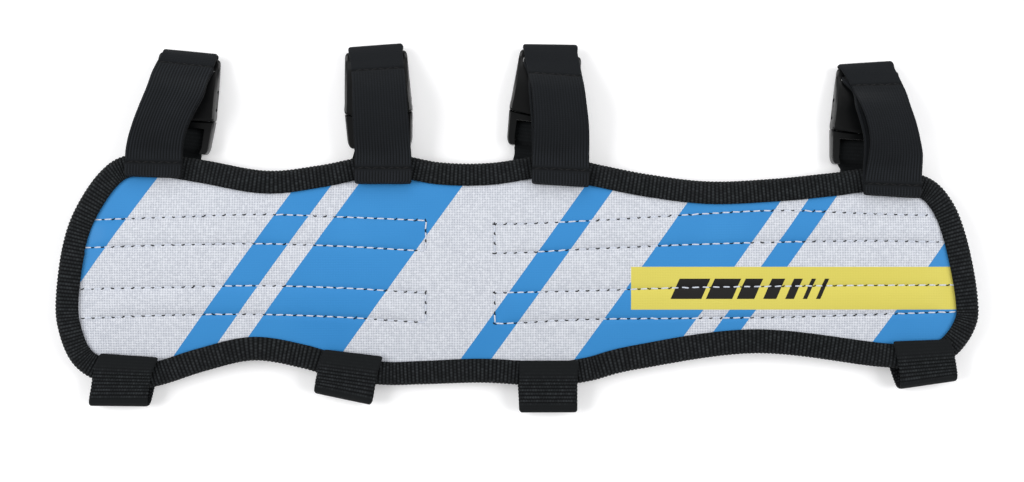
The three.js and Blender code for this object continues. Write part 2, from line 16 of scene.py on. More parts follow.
import bpy
import numpy as np
from mathutils import Matrix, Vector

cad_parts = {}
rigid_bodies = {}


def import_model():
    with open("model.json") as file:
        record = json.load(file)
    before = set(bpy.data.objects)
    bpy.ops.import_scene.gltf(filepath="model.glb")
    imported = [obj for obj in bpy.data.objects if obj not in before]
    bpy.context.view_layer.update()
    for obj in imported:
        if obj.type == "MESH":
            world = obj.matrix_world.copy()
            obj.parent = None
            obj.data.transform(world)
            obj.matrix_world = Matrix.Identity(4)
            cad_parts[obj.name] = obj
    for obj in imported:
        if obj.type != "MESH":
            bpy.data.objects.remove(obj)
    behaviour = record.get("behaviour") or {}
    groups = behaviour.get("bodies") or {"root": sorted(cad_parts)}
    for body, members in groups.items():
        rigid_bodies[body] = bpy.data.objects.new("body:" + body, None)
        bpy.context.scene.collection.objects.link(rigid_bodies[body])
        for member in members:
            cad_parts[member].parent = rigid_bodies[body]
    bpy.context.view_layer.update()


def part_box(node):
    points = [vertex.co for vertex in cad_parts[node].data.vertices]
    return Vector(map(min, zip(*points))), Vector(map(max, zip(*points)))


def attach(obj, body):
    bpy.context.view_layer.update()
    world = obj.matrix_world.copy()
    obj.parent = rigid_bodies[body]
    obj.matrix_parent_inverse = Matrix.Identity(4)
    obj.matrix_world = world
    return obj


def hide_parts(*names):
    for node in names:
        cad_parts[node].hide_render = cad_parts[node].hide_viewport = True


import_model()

LOG = logging.getLogger("arm_guard")
BODY = "root"
WEAVE_MAP = "Weave"
RELIEF = "Relief"
MM = 0.001

# Sizes that several pieces share
GAP = 0.3 * MM
TAPE_WALL = 1 * MM
BINDING_RIB = 1.36 * MM
WEB_RIB = 1.28 * MM
ELASTIC_RIB = 1.05 * MM
SEAM_THREAD = 0.19 * MM
BEHIND_FOLD = 6 * MM
BEHIND_FADE = 2 * MM
EDGE_SAMPLES = 2000
SHARP_EDGE = math.radians(38)

Array = np.ndarray
Socket = bpy.types.NodeSocket
Mesh = bpy.types.Mesh
Material = bpy.types.Material


def srgb(red: int, green: int, blue: int) -> tuple[float, float, float, float]:
    """Linear colour of a display colour, by the display's own curve.

    Args:
        red: red from 0 to 255.
        green: green from 0 to 255.
        blue: blue from 0 to 255.

    Returns:
        Linear red, green, blue and a full alpha.
    """
    share = np.array([red, green, blue]) / 255
    linear = np.where(share <= 0.04045, share / 12.92, ((share + 0.055) / 1.055) ** 2.4)
    return (*linear.tolist(), 1.0)


# Tables of the drawing, in millimetres and degrees

TOP_EDGE = np.array([
    (-161.6, 8.3), (-157.6, 21.2), (-149.4, 34.6), (-140.5, 41), (-127, 41.6), (-110.5, 39.3), (-89, 35.7),
    (-70, 37.7), (-47, 41.8), (-27, 38.7), (-9, 38.5), (13, 41.3), (30.5, 37.7), (48, 34.3), (69, 31.8),
    (92, 32.8), (112, 34.8), (130, 36.6), (146.5, 33.6), (155.1, 25.7), (160.4, 12.2),
]) * MM
BOTTOM_EDGE = np.array([
    (164.6, -9.8), (163.9, -20.8), (156.8, -31.1), (146, -35.3), (129, -34.7), (85.5, -29.9), (43.5, -35.7),
    (26.5, -40), (11.5, -41.8), (-12, -40.6), (-33.5, -41.2), (-47, -41.4), (-63, -39.4), (-76.5, -35.3),
    (-93.5, -32.5), (-110.5, -36.2), (-127.5, -41.6), (-140, -43.3), (-152.5, -38.8), (-159.6, -32.2),
    (-163.5, -20.8), (-164, -9.8),
]) * MM


class ChannelColumn(NamedTuple):
    """Heights of the four stitch rows at one station along the panel, in millimetres."""

    x: float
    a: float
    b: float
    c: float
    d: float


LEFT_CHANNELS = (
    ChannelColumn(-152, 17.8, 8, -6.7, -17.1),
    ChannelColumn(-120, 18.9, 9, -6, -15.9),
    ChannelColumn(-93, 19.8, 9.4, -5.5, -15.7),
    ChannelColumn(-60, 18.8, 8.4, -6.4, -16.8),
    ChannelColumn(-32, 17.6, 6.8, -8, -18.6),
)
RIGHT_CHANNELS = (
    ChannelColumn(-7.5, 16.4, 6, -8, -19),
    ChannelColumn(25, 17.5, 7.5, -7.3, -17.5),
    ChannelColumn(60, 19.6, 9, -6.2, -17.1),
    ChannelColumn(95, 21.2, 10, -5.7, -16.7),
    ChannelColumn(125, 20.1, 10.4, -5.4, -15.8),
    ChannelColumn(153, 19.3, 10, -5.3, -14.9),
)


class ElasticRow(NamedTuple):
    """Station of an elastic band. A row with no height is sewn on the binding."""

    x: float
    y: float
    z: float | None
    turn: float
    roll: float
    width: float
    open: float


class WebRow(NamedTuple):
    """Station of a web tape's sewn end."""

    x: float
    y: float
    turn: float


class WebFold(NamedTuple):
    """Fold of a web tape round the bottom edge: its reach, aim and turn."""

    reach: float
    aim: float
    turn: float


@dataclass(frozen=True)
class StrapPlan:
    """Where one strap goes, in millimetres and degrees.

    Attributes:
        mouth: centre of the buckle's mouth.
        lean: lean of the buckle's axis to the right.
        drift: how far the elastic sits beside that axis.
        loop: slack of the elastic's fold round the bar, its turn there and how far it sits aside.
        seams: the hem seam's distance from the hem, and the fold seam's from the fold.
        aside: how far the elastic's back layer sits aside, and how late along it that is.
        elastic: stations from the hem to the buckle.
        web: stations of the sewn end of the web tape.
        fold: fold of the web tape round the bottom edge.
        tape: width of the web tape.
        ribbing: how far the elastic's ribs show away from its hem.
        neck: width of the elastic before the slot.
        tail: width of the web tape below the pronged half, where it narrows, and how far aside it lies.
    """

    mouth: tuple[float, float]
    lean: float
    drift: float
    loop: tuple[float, float, float]
    seams: tuple[float, float]
    aside: tuple[float, float]
    elastic: tuple[ElasticRow, ...]
    web: tuple[WebRow, ...]
    fold: WebFold
    tape: float = 20.5
    ribbing: float = 0.45
    neck: float = 19.2
    tail: tuple[float, float, float] = (17.2, -18, 0)


STRAPS = (
    StrapPlan(
        mouth=(-120, 54.9), lean=8, drift=-1.3, loop=(0, 2.5, 0), seams=(5.1, 5.2), aside=(0.3, 1),
        elastic=(
            ElasticRow(-129, 33.4, None, -2, 0, 19.9, 0),
            ElasticRow(-129, 38.5, None, -1, 0, 19.9, 0),
            ElasticRow(-128.8, 42.5, 11, -1, 1, 19.8, 0),
            ElasticRow(-128, 46, 12.6, -2, 3, 19.7, 0.2),
            ElasticRow(-126.2, 51, 14.8, -4, 5, 19.5, 0.5),
            ElasticRow(-123.5, 57, 16, -6, 6, 19.8, 0.5),
            ElasticRow(-120.8, 63, 15.3, -8, 4, 20.1, 0.3),
        ),
        web=(WebRow(-137.5, -30.4, -4), WebRow(-140.2, -36.8, -2), WebRow(-141.6, -42.8, 0)),
        fold=WebFold(5.8, -100, 0), tape=20.9, ribbing=1.0, neck=20.2, tail=(17.2, -18, -0.7),
    ),
    StrapPlan(
        mouth=(-49.3, 56.3), lean=-2.6, drift=0.8, loop=(0.7, 1.7, 0), seams=(5.4, 9.4), aside=(-0.4, 1),
        elastic=(
            ElasticRow(-47.2, 31, None, 0, 0, 19.9, 0),
            ElasticRow(-47.2, 36, None, 0, 0, 19.9, 0),
            ElasticRow(-47.2, 41.5, 10.9, 0, 0, 19.8, 0),
            ElasticRow(-47.4, 46, 12.4, 0, -1, 19.7, 0.1),
            ElasticRow(-47.6, 51, 14.1, 1, -2, 19.5, 0.3),
            ElasticRow(-47.9, 57, 15.2, 2, -2, 19.3, 0.3),
            ElasticRow(-48.3, 63.5, 14.7, 2.6, -1, 19, 0.2),
        ),
        web=(WebRow(-57.7, -29.5, -7), WebRow(-59.8, -35.8, -8), WebRow(-61.2, -41.1, -10)),
        fold=WebFold(4.9, -100, -12), tape=21, neck=18.9, tail=(18.8, -17, -1.2),
    ),
    StrapPlan(
        mouth=(9.6, 55.9), lean=7.8, drift=2.2, loop=(1.5, 7, -0.6), seams=(5.5, 11.2), aside=(-1, 2),
        elastic=(
            ElasticRow(15.8, 30.4, None, -3.5, 0, 20.1, 0),
            ElasticRow(15.9, 36, None, -2.5, 0, 20.1, 0),
            ElasticRow(16, 41.5, 10.9, 0, -1, 20, 0),
            ElasticRow(16.1, 46, 12.5, -1, -3, 19.9, 0.2),
            ElasticRow(16.1, 51.5, 14.4, -2, -5, 19.6, 0.4),
            ElasticRow(15.6, 58, 15.3, -4, -5, 19.3, 0.4),
            ElasticRow(14.9, 64.5, 14.7, -4, -3, 19, 0.2),
        ),
        web=(WebRow(11.6, -32.3, 0), WebRow(11.6, -37.3, 0), WebRow(11.6, -42.1, 0)),
        fold=WebFold(8.7, -90, 0), tape=20.8, tail=(17.2, -23, 0.8),
    ),
    StrapPlan(
        mouth=(125.2, 49.8), lean=3.2, drift=3, loop=(0.9, 7, -1.1), seams=(4, 8.2), aside=(-1.5, 1),
        elastic=(
            ElasticRow(133.5, 26.4, None, -3.4, 0, 19.9, 0),
            ElasticRow(133.8, 31, None, -2, -1, 19.9, 0),
            ElasticRow(134.5, 36.5, 11.6, 0, -4, 19.8, 0.1),
            ElasticRow(134.7, 41, 13, 0, -8, 19.6, 0.3),
            ElasticRow(134, 46.5, 15, 0, -14, 19.2, 0.8),
            ElasticRow(132.5, 52.5, 16.2, 0, -16, 19, 1.4),
            ElasticRow(130.5, 58.5, 15.4, 0, -13, 18.8, 1.2),
        ),
        web=(WebRow(144, -25, 2), WebRow(145.8, -30.8, 4), WebRow(147, -36.3, 6)),
        fold=WebFold(4.6, -82, 8), neck=18.2, tail=(15.6, -18, 1.6),
    ),
)


# Curves and grids

def unit(vectors: Array) -> Array:
    """Vectors made one metre long."""
    return vectors / np.linalg.norm(vectors, axis=-1, keepdims=True)


def chord_places(points: Array) -> Array:
    """Running length of the chords through points, from zero."""
    steps = np.linalg.norm(np.diff(points, axis=0), axis=1)
    return np.concatenate([[0.0], np.cumsum(steps)])


def smooth_through(knots: Array, values: Array, at: Array) -> Array:
    """Smooth curve through values at rising knots, read at other places.

    Each span is the cubic that has the values at its two knots and, as its slopes there, the
    central differences of the values.

    Args:
        knots: rising places of the values.
        values: one value or vector for each knot.
        at: places to read.

    Returns:
        The values at those places.
    """
    slopes = np.gradient(values, knots, axis=0)
    i = np.clip(np.searchsorted(knots, at, side="right") - 1, 0, len(knots) - 2)
    span = (knots[i + 1] - knots[i]).reshape(-1, *[1] * (values.ndim - 1))
    t = ((at - knots[i]) / (knots[i + 1] - knots[i])).reshape(span.shape)
    start = (1 + 2 * t) * (1 - t) ** 2 * values[i] + t * (1 - t) ** 2 * span * slopes[i]
    end = t ** 2 * (3 - 2 * t) * values[i + 1] + t ** 2 * (t - 1) * span * slopes[i + 1]
    return start + end


def closed_curve(corners: Array, samples: int) -> Array:
    """Closed smooth curve through corners, as evenly spaced points.

    Each span is the cubic through two corners whose slopes there are half the chord between
    the corners on either side. The spans are cut finely and read at even lengths.

    Args:
        corners: corners in order, the last joined to the first.
        samples: number of points.

    Returns:
        The points, without a repeat of the first.
    """
    t = np.linspace(0, 1, 48, endpoint=False)[:, None, None]
    before, here, after, later = (np.roll(corners, k, axis=0) for k in (1, 0, -1, -2))
    curve = here + 0.5 * (
        (after - before) * t
        + (2 * before - 5 * here + 4 * after - later) * t ** 2
        + (3 * here - before - 3 * after + later) * t ** 3)
    dense = curve.transpose(1, 0, 2).reshape(-1, corners.shape[1])
    dense = np.vstack([dense, dense[:1]])
    length = chord_places(dense)
    at = np.linspace(0, length[-1], samples, endpoint=False)
    return np.stack([np.interp(at, length, column) for column in dense.T], axis=1)


def rounded(sides: int, squareness: float) -> tuple[Array, Array]:
    """Ring of a rounded square: the cosine and sine, each raised to a power below one.

    Args:
        sides: number of points.
        squareness: the power. The nearer it is to zero, the sharper are the corners.

    Returns:
        Places across and up, from minus one to one.
    """
    angle = (np.arange(sides) + 0.5) / sides * 2 * np.pi
    cosine, sine = np.cos(angle), np.sin(angle)
    return (np.sign(cosine) * np.abs(cosine) ** squareness, np.sign(sine) * np.abs(sine) ** squareness)


def ridges(place: Array, pitch: float) -> Array:
    """Round ridges with narrow grooves: one at each ridge's crest and zero in each groove."""
    share = place / pitch - np.floor(place / pitch)
    return 1 - np.abs(2 * share - 1) ** 2.4


def eased(share: Array) -> Array:
    """A smooth step: zero below zero, one above one, level at both."""
    inside = np.clip(share, 0, 1)
    return inside * inside * (3 - 2 * inside)


def smooth_at_fold(places: Array, start: float, rise: float, fold: float) -> Array:
    """One on a band's smooth stretch from before its fold to behind it, by two smooth steps."""
    return eased((places - start) / rise) * eased((fold + BEHIND_FOLD - places) / BEHIND_FADE)


def cornered(width: Array, gap: Array, radius: float) -> Array:
    """Widths of a band whose end has round corners: each side draws in by a circle's arc.

    Args:
        width: width at each station.
        gap: distance of each station from the end.
        radius: radius of the corners.

    Returns:
        The drawn in widths.
    """
    near = np.clip(1 - gap / radius, 0, 1)
    return width - 2 * radius * (1 - np.sqrt(1 - near ** 2))


def half_thickness(side: Array, thickness: float, width: float) -> Array:
    """Half the thickness of a band across its width, drawn in by a circle's arc at both sides.

    Args:
        side: places across, as shares of the half width.
        thickness: thickness of the band.
        width: width of the band.

    Returns:
        Half the thickness at each place.
    """
    edge = 1 - thickness / width
    round_off = np.sqrt(1 - np.clip((np.abs(side) - edge) / (1 - edge), 0, 1) ** 2)
    return thickness / 2 * (0.4 + 0.6 * round_off)


@dataclass
class Skin:
    """A batch of point grids that become faces. The last column of each grid joins the first.

    Attributes:
        points: places, shaped batch, rows, columns, three.
        places: places on the weave map, with one more column, and one more row where the rows wrap.
        wrap_rows: whether the last row joins the first. If not, flat strips close both ends.
        finish: material index of each column of faces.
        relief: how far the ribs show at each row: one is ribbed, zero smooth, below zero a seam, painted dark
            as shade in its groove.
    """

    points: Array
    places: Array | None = None
    wrap_rows: bool = False
    finish: Array | int = 0
    relief: Array | None = None

    def faces(self) -> tuple[Array, Array, Array]:
        """Quads of the grid, by vertex, by place on the weave map and by material.

        Returns:
            The corners of each quad, their places on the weave map, and each quad's material.
        """
        batch, rows, columns = self.points.shape[:3]
        down, wide = rows + self.wrap_rows, columns + 1
        i, j = np.meshgrid(np.arange(down - 1), np.arange(wide - 1), indexing="ij")
        corners = [(i, j), (i, j + 1), (i + 1, j + 1), (i + 1, j)]
        vertex = np.stack([(a % rows) * columns + b % columns for a, b in corners], -1).reshape(-1, 4)
        place = np.stack([a * wide + b for a, b in corners], -1).reshape(-1, 4)
        finish = np.broadcast_to(self.finish, i.shape).reshape(-1)
        if not self.wrap_rows:
            k = np.arange(columns // 2 - 1)
            first = np.stack([k + 1, k, columns - 1 - k, columns - 2 - k], -1)
            last = (rows - 1) * columns + first[:, ::-1]
            vertex = np.vstack([vertex, first, last])
            place = np.vstack([place, first, (rows - 1) * wide + first[:, ::-1]])
            finish = np.concatenate([finish, np.full(2 * len(k), finish[-1])])
        step = np.arange(batch)[:, None, None]
        return (
            (vertex + step * rows * columns).reshape(-1, 4),
            (place + step * down * wide).reshape(-1, 4),
            np.tile(finish, batch))

    def turned_out(self) -> tuple[Array, Array, Array, Array]:
        """Points and quads with every face pointing out of the volume that they close.

        The volume is the sum of the tetrahedra between the origin and the halves of each quad.

        Returns:
            The points, and the quads' corners, places on the weave map and materials.
        """
        flat = self.points.reshape(-1, 3)
        vertex, place, finish = self.faces()
        a, b, c, d = (flat[vertex[:, k]] for k in range(4))
        volume = (a * np.cross(b, c)).sum() + (a * np.cross(c, d)).sum()
        if volume < 0:
            vertex, place = vertex[:, ::-1], place[:, ::-1]
        return flat, vertex, place, finish

    def mesh(self, name: str, shift: Array | float = 0.0) -> Mesh:
        """The skin as a smooth mesh.

        Args:
            name: name of the mesh.
            shift: move that is added to every point.

        Returns:
            The mesh, with its weave map and relief where the skin has them.
        """
        flat, quad, place, finish = self.turned_out()
        mesh = bpy.data.meshes.new(name)
        mesh.vertices.add(len(flat))
        mesh.vertices.foreach_set("co", (flat + shift).astype(np.float32).ravel())
        mesh.loops.add(quad.size)
        mesh.loops.foreach_set("vertex_index", quad.astype(np.int32).ravel())
        mesh.polygons.add(len(quad))
        mesh.polygons.foreach_set("loop_start", np.arange(0, quad.size, 4, dtype=np.int32))
        mesh.polygons.foreach_set("material_index", finish.astype(np.int32))
        mesh.update(calc_edges=True)
        if self.places is not None:
            layer = mesh.uv_layers.new(name=WEAVE_MAP)
            spots = self.places.reshape(-1, 2)[place.reshape(-1)]
            layer.uv.foreach_set("vector", spots.astype(np.float32).ravel())
        if self.relief is not None:
            layer = mesh.attributes.new(RELIEF, "FLOAT", "POINT")
            levels = np.repeat(self.relief, self.points.shape[2])
            layer.data.foreach_set("value", levels.astype(np.float32))
        mesh.shade_smooth()
        return mesh


@dataclass
class Bench:
    """Where pieces are put together: it knows where the drawing lies in the row frame.

    Attributes:
        shift: place of the drawing's origin in the row frame.
        triangles: triangles made so far.
    """

    shift: Array
    triangles: int = 0

    def piece(
        self, name: str, mesh: Mesh, finishes: list[Material],
        node: str | None = None,
    ) -> bpy.types.Object:
        """A finished piece that rides on the guard.

        Args:
            name: name of the piece.
            mesh: its mesh, in the row frame.
            finishes: its materials.
            node: the frame's node that it stands for, if any.

        Returns:
            The new object.
        """
        made = bpy.data.objects.new(name, mesh)
        bpy.context.scene.collection.objects.link(made)
        for finish in finishes:
            mesh.materials.append(finish)
        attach(made, BODY)
        if node:
            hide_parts(node)
        count = sum(len(face.vertices) - 2 for face in mesh.polygons)
        self.triangles += count
        LOG.info("%s: %d triangles", name, count)
        return made

    def make(
        self, name: str, skin: Skin, finishes: list[Material],
        node: str | None = None,
    ) -> bpy.types.Object:
        """A piece from one skin in the drawing's frame, dressed by piece()."""
        return self.piece(name, skin.mesh(name, self.shift), finishes, node)


# Finishes

class Shader:
    """A new material with one surface shader, and short calls that add its nodes."""

    def __init__(self, name: str, **sockets: float | tuple) -> None:
        """Start a material.

        Args:
            name: name of the material.
            sockets: constant values of the surface shader, with _ for a blank in a name.
        """
        self.material = bpy.data.materials.new(name)
        self.material.use_nodes = True
        self.tree = self.material.node_tree
        self.surface = self.tree.nodes["Principled BSDF"]
        for key, value in sockets.items():
            self.surface.inputs[key.replace("_", " ")].default_value = value

    def feed(self, socket: Socket, value: Socket | float | tuple) -> None:
        """Give a socket a link or a constant.

        Args:
            socket: the socket.
            value: what it gets.
        """
        if isinstance(value, Socket):
            self.tree.links.new(value, socket)
        else:
            socket.default_value = value

    def node(self, kind: str, inputs: dict | None = None, **settings: object) -> bpy.types.Node:
        """Add a node.

        Args:
            kind: its type, without the common prefix.
            inputs: links and constants by the socket's name or number.
            settings: the node's own settings.

        Returns:
            The node.
        """
        made = self.tree.nodes.new("ShaderNode" + kind)
        for key, value in settings.items():
            setattr(made, key, value)
        for key, value in (inputs or {}).items():
            self.feed(made.inputs[key], value)
        return made

    def math(self, operation: str, *values: Socket | float) -> Socket:
        """Add an operation on numbers."""
        return self.node("Math", dict(enumerate(values)), operation=operation).outputs[0]

    def times(self, first: Socket, second: Socket | float) -> Socket:
        """Add a product."""
        return self.math("MULTIPLY", first, second)

    def scaled(self, value: Socket, factor: Socket | float, added: Socket | float) -> Socket:
        """Add a product with something added to it."""
        return self.math("MULTIPLY_ADD", value, factor, added)

    def mix(self, share: Socket, first: Socket | tuple, second: Socket | tuple) -> Socket:
        """Add a mix of two colours."""
        return self.node("Mix", {0: share, 6: first, 7: second}, data_type="RGBA").outputs[2]

    def blend(self, share: Socket, first: Socket | float, second: Socket | float) -> Socket:
        """Add a mix of two numbers."""
        return self.node("Mix", {0: share, 2: first, 3: second}, data_type="FLOAT").outputs[0]

    def noise(self, vector: Socket, scale: float) -> Socket:
        """Add a soft noise between zero and one."""
        return self.node("TexNoise", {"Vector": vector, "Scale": scale, "Detail": 2.0}).outputs["Fac"]

    def wave(self, place: Socket, pitch: float, phase: Socket | float = 0.0) -> Socket:
        """Add a wave between zero and one along one place, with the given pitch."""
        turn = self.scaled(place, 2 * math.pi / pitch, phase)
        return self.scaled(self.math("SINE", turn), 0.5, 0.5)

    def sewn(self, level: Socket, relief: Socket, plain: float, dark: float) -> Socket:
        """A ribbed level, made plain where no ribs show and painted darker where a seam presses, as shade in
        its groove.
        """
        level = self.blend(self.math("MAXIMUM", relief, 0.0), plain, level)
        return self.times(level, self.scaled(self.math("MINIMUM", relief, 0.0), dark, 1.0))

    def parted(self, vector: Socket) -> tuple[Socket, Socket, Socket]:
        """A vector and its first two parts."""
        parts = self.node("SeparateXYZ", {"Vector": vector}).outputs
        return vector, parts[0], parts[1]

    def object_places(self) -> tuple[Socket, Socket, Socket]:
        """The object's vector of places, and its first two parts."""
        return self.parted(self.node("TexCoord").outputs["Object"])

    def weave_places(self) -> tuple[Socket, Socket, Socket]:
        """The weave map's vector, and the places across and along, in metres."""
        return self.parted(self.node("UVMap", uv_map=WEAVE_MAP).outputs["UV"])

    def relief(self) -> Socket:
        """How far the ribs show, from the mesh's own attribute."""
        return self.node("Attribute", attribute_name=RELIEF).outputs["Fac"]

    def chance(self, first: Socket, second: Socket) -> Socket:
        """A number between zero and one for each cell, given by two whole numbers."""
        cell = self.node("CombineXYZ", {"X": first, "Y": second}).outputs[0]
        return self.node("TexWhiteNoise", {"Vector": cell}, noise_dimensions="2D").outputs["Value"]

    def colour(self, value: Socket) -> None:
        """Link the surface colour."""
        self.feed(self.surface.inputs["Base Color"], value)

    def roughness(self, value: Socket) -> None:
        """Link the surface roughness."""
        self.feed(self.surface.inputs["Roughness"], value)

    def bump(self, height: Socket, depth: float) -> None:
        """Raise the surface by a height between zero and one, of the given depth."""
        made = self.node("Bump", {"Height": height, "Distance": depth, "Strength": 1.0})
        self.feed(self.surface.inputs["Normal"], made.outputs["Normal"])


@dataclass(frozen=True)
class PrintedCloth:
    """White woven cloth that shows between slanted bands of a smooth blue film, with a label strip.

    Attributes:
        shift: place of the drawing's origin in the row frame.
        lean: how far a band moves sideways for each metre upwards.
        bands: left and right sides of the white bands where they cross the middle line, in mm.
        label: left side, bottom and top of the label strip, in mm.
        bar_lean: how far a bar of the label moves sideways for each metre upwards.
        bar_sides: left and right sides of the label's dark bars, in mm.
        bar_ends: bottom and top of those bars, in mm.
        reach: half the length that the stripes may span.
        yarn: pitch of the yarns.
    """

    shift: tuple[float, float]
    lean: float = 0.72
    bands: tuple[tuple[float, float], ...] = (
        (-152, -100), (-88, -79), (-41, 3), (13, 43), (76, 85), (95, 145),
    )
    label: tuple[float, float, float] = (40.8, -14.0, 1.2)
    bar_lean: float = 0.45
    bar_sides: tuple[tuple[float, float], ...] = (
        (58, 69), (71.5, 80), (82.5, 89), (91.5, 96.4), (98.9, 102.5), (105, 107.6), (110.1, 111.9),
    )
    bar_ends: tuple[float, float] = (-10.2, -3.0)
    reach: float = 200 * MM
    yarn: float = 0.9 * MM
    blue: tuple = srgb(46, 122, 183)
    blue_light: tuple = srgb(53, 130, 190)
    white: tuple = srgb(210, 213, 220)
    white_shade: tuple = srgb(149, 154, 166)
    yellow: tuple = srgb(196, 185, 82)
    yellow_light: tuple = srgb(204, 193, 92)
    bar: tuple = srgb(24, 23, 22)

    def stripes(self, shader: Shader, place: Socket, sides: tuple, inside: float) -> Socket:
        """One value inside stripes and the other outside.

        Args:
            shader: the material.
            place: place along which the stripes follow each other, in metres.
            sides: the first and last place of each stripe, in millimetres.
            inside: the value in the stripes, zero or one.

        Returns:
            The value, from a ramp that jumps at each side.
        """
        share = shader.scaled(place, 0.5 / self.reach, 0.5)
        ramp = shader.node("ValToRGB", {"Fac": share})
        ramp.color_ramp.interpolation = "CONSTANT"
        stops = [(-self.reach / MM, 1 - inside)]
        for left, right in sides:
            stops += [(left, inside), (right, 1 - inside)]
        elements = ramp.color_ramp.elements
        elements.remove(elements[-1])
        for index, (spot, level) in enumerate(stops):
            at = 0.5 + 0.5 * spot * MM / self.reach
            element = elements[0] if index == 0 else elements.new(at)
            element.position = at
            element.color = (level, level, level, 1.0)
        return ramp.outputs["Color"]

    def between(self, shader: Shader, place: Socket, low: float, high: float) -> Socket:
        """One between two places in millimetres and zero elsewhere."""
        above = shader.math("GREATER_THAN", place, low * MM)
        return shader.times(above, shader.math("LESS_THAN", place, high * MM))

    def weave(self, shader: Shader, x: Socket, y: Socket) -> tuple[Socket, Socket]:
        """Plain weave: a checker of crossings, each round on top, with a pit between every four that the
        cloth's colour paints dark as shade.

        The height is the greater square of two sines, one along each yarn. A little of it follows
        the yarn that lies on top at the crossing.

        Args:
            shader: the material.
            x: place along the guard.
            y: place across the guard.

        Returns:
            The height, and a chance value for each crossing.
        """
        warp, weft = (shader.math("SINE", shader.times(place, math.pi / self.yarn))
                      for place in (x, y))
        crossing = shader.scaled(shader.times(warp, weft), 0.5, 0.5)
        squares = [shader.times(wave, wave) for wave in (warp, weft)]
        upper = shader.blend(crossing, squares[1], squares[0])
        height = shader.scaled(upper, 0.3, shader.times(shader.math("MAXIMUM", *squares), 0.7))
        cells = [shader.math("FLOOR", shader.math("DIVIDE", place, self.yarn)) for place in (x, y)]
        return height, shader.chance(*cells)

    def material(self) -> Material:
        """The finish, drawn on the object's own places.

        Returns:
            The material.
        """
        shader = Shader("printed_cloth", Sheen_Weight=0.04, Specular_IOR_Level=0.18)
        vector, row_x, row_y = shader.object_places()
        x = shader.math("SUBTRACT", row_x, self.shift[0])
        y = shader.math("SUBTRACT", row_y, self.shift[1])
        left, bottom, top = self.label
        label = shader.times(shader.math("GREATER_THAN", x, left * MM),
                             self.between(shader, y, bottom, top))
        slanted = shader.scaled(y, -self.bar_lean, x)
        bars = shader.times(self.stripes(shader, slanted, self.bar_sides, 1.0),
                            self.between(shader, y, *self.bar_ends))
        film = self.stripes(shader, shader.scaled(y, -self.lean, x), self.bands, 0.0)
        covered = shader.math("MAXIMUM", film, label)
        cloud = shader.noise(vector, 45.0)
        fibre = shader.noise(vector, 2600.0)
        wander_x, wander_y = (shader.times(shader.noise(vector, scale), 0.4 * self.yarn)
                              for scale in (520.0, 460.0))
        weave, chance = self.weave(shader, shader.math("ADD", x, wander_x), shader.math("ADD", y, wander_y))
        # The cloth is painted darker where the weave lies low: painted shade in the pits between the yarns,
        # mixed with a random tone for each crossing.
        grain = shader.scaled(chance, 0.26, shader.times(weave, 0.64))
        cloth = shader.mix(shader.scaled(fibre, 0.2, grain), self.white_shade, self.white)
        blue = shader.mix(cloud, self.blue, self.blue_light)
        # The label's yellow is painted a little darker in the weave's pits too: painted shade, mixed with a
        # slow random tone.
        yellow = shader.mix(shader.scaled(weave, 0.4, shader.times(cloud, 0.6)),
                            self.yellow, self.yellow_light)
        yellow = shader.mix(bars, yellow, self.bar)
        shader.colour(shader.mix(label, shader.mix(film, cloth, blue), yellow))
        shader.roughness(shader.blend(covered, 0.9, shader.scaled(cloud, 0.12, 0.44)))
        lines = shader.wave(y, 0.85 * MM, shader.times(cloud, 9.0))
        smooth = shader.scaled(lines, 0.08, shader.scaled(weave, 0.08, 0.86))
        shader.bump(shader.blend(covered, weave, smooth), 0.14 * MM)
        return shader.material


@dataclass(frozen=True)
class WovenLining:
    """Black plain-woven cloth on the side of the panel that meets the arm."""

    yarn: float = 0.6 * MM
    dark: tuple = srgb(14, 15, 17)
    light: tuple = srgb(33, 35, 38)

    def material(self) -> Material:
        """The finish, drawn on the object's own places.

        Returns:
            The material.
        """
        shader = Shader("woven_lining", Roughness=0.9, Sheen_Weight=0.1)
        vector, x, y = shader.object_places()
        warp, weft = (shader.wave(place, 2 * self.yarn) for place in (x, y))
        crossing = shader.times(warp, weft)
        fibre = shader.noise(vector, 2200.0)
        # The yarn crossings are painted lighter and the gaps between the yarns darker: painted highlight and
        # shade on the weave, with a random fibre tone.
        shader.colour(shader.mix(shader.scaled(fibre, 0.4, crossing), self.dark, self.light))
        shader.bump(crossing, 0.12 * MM)
        return shader.material


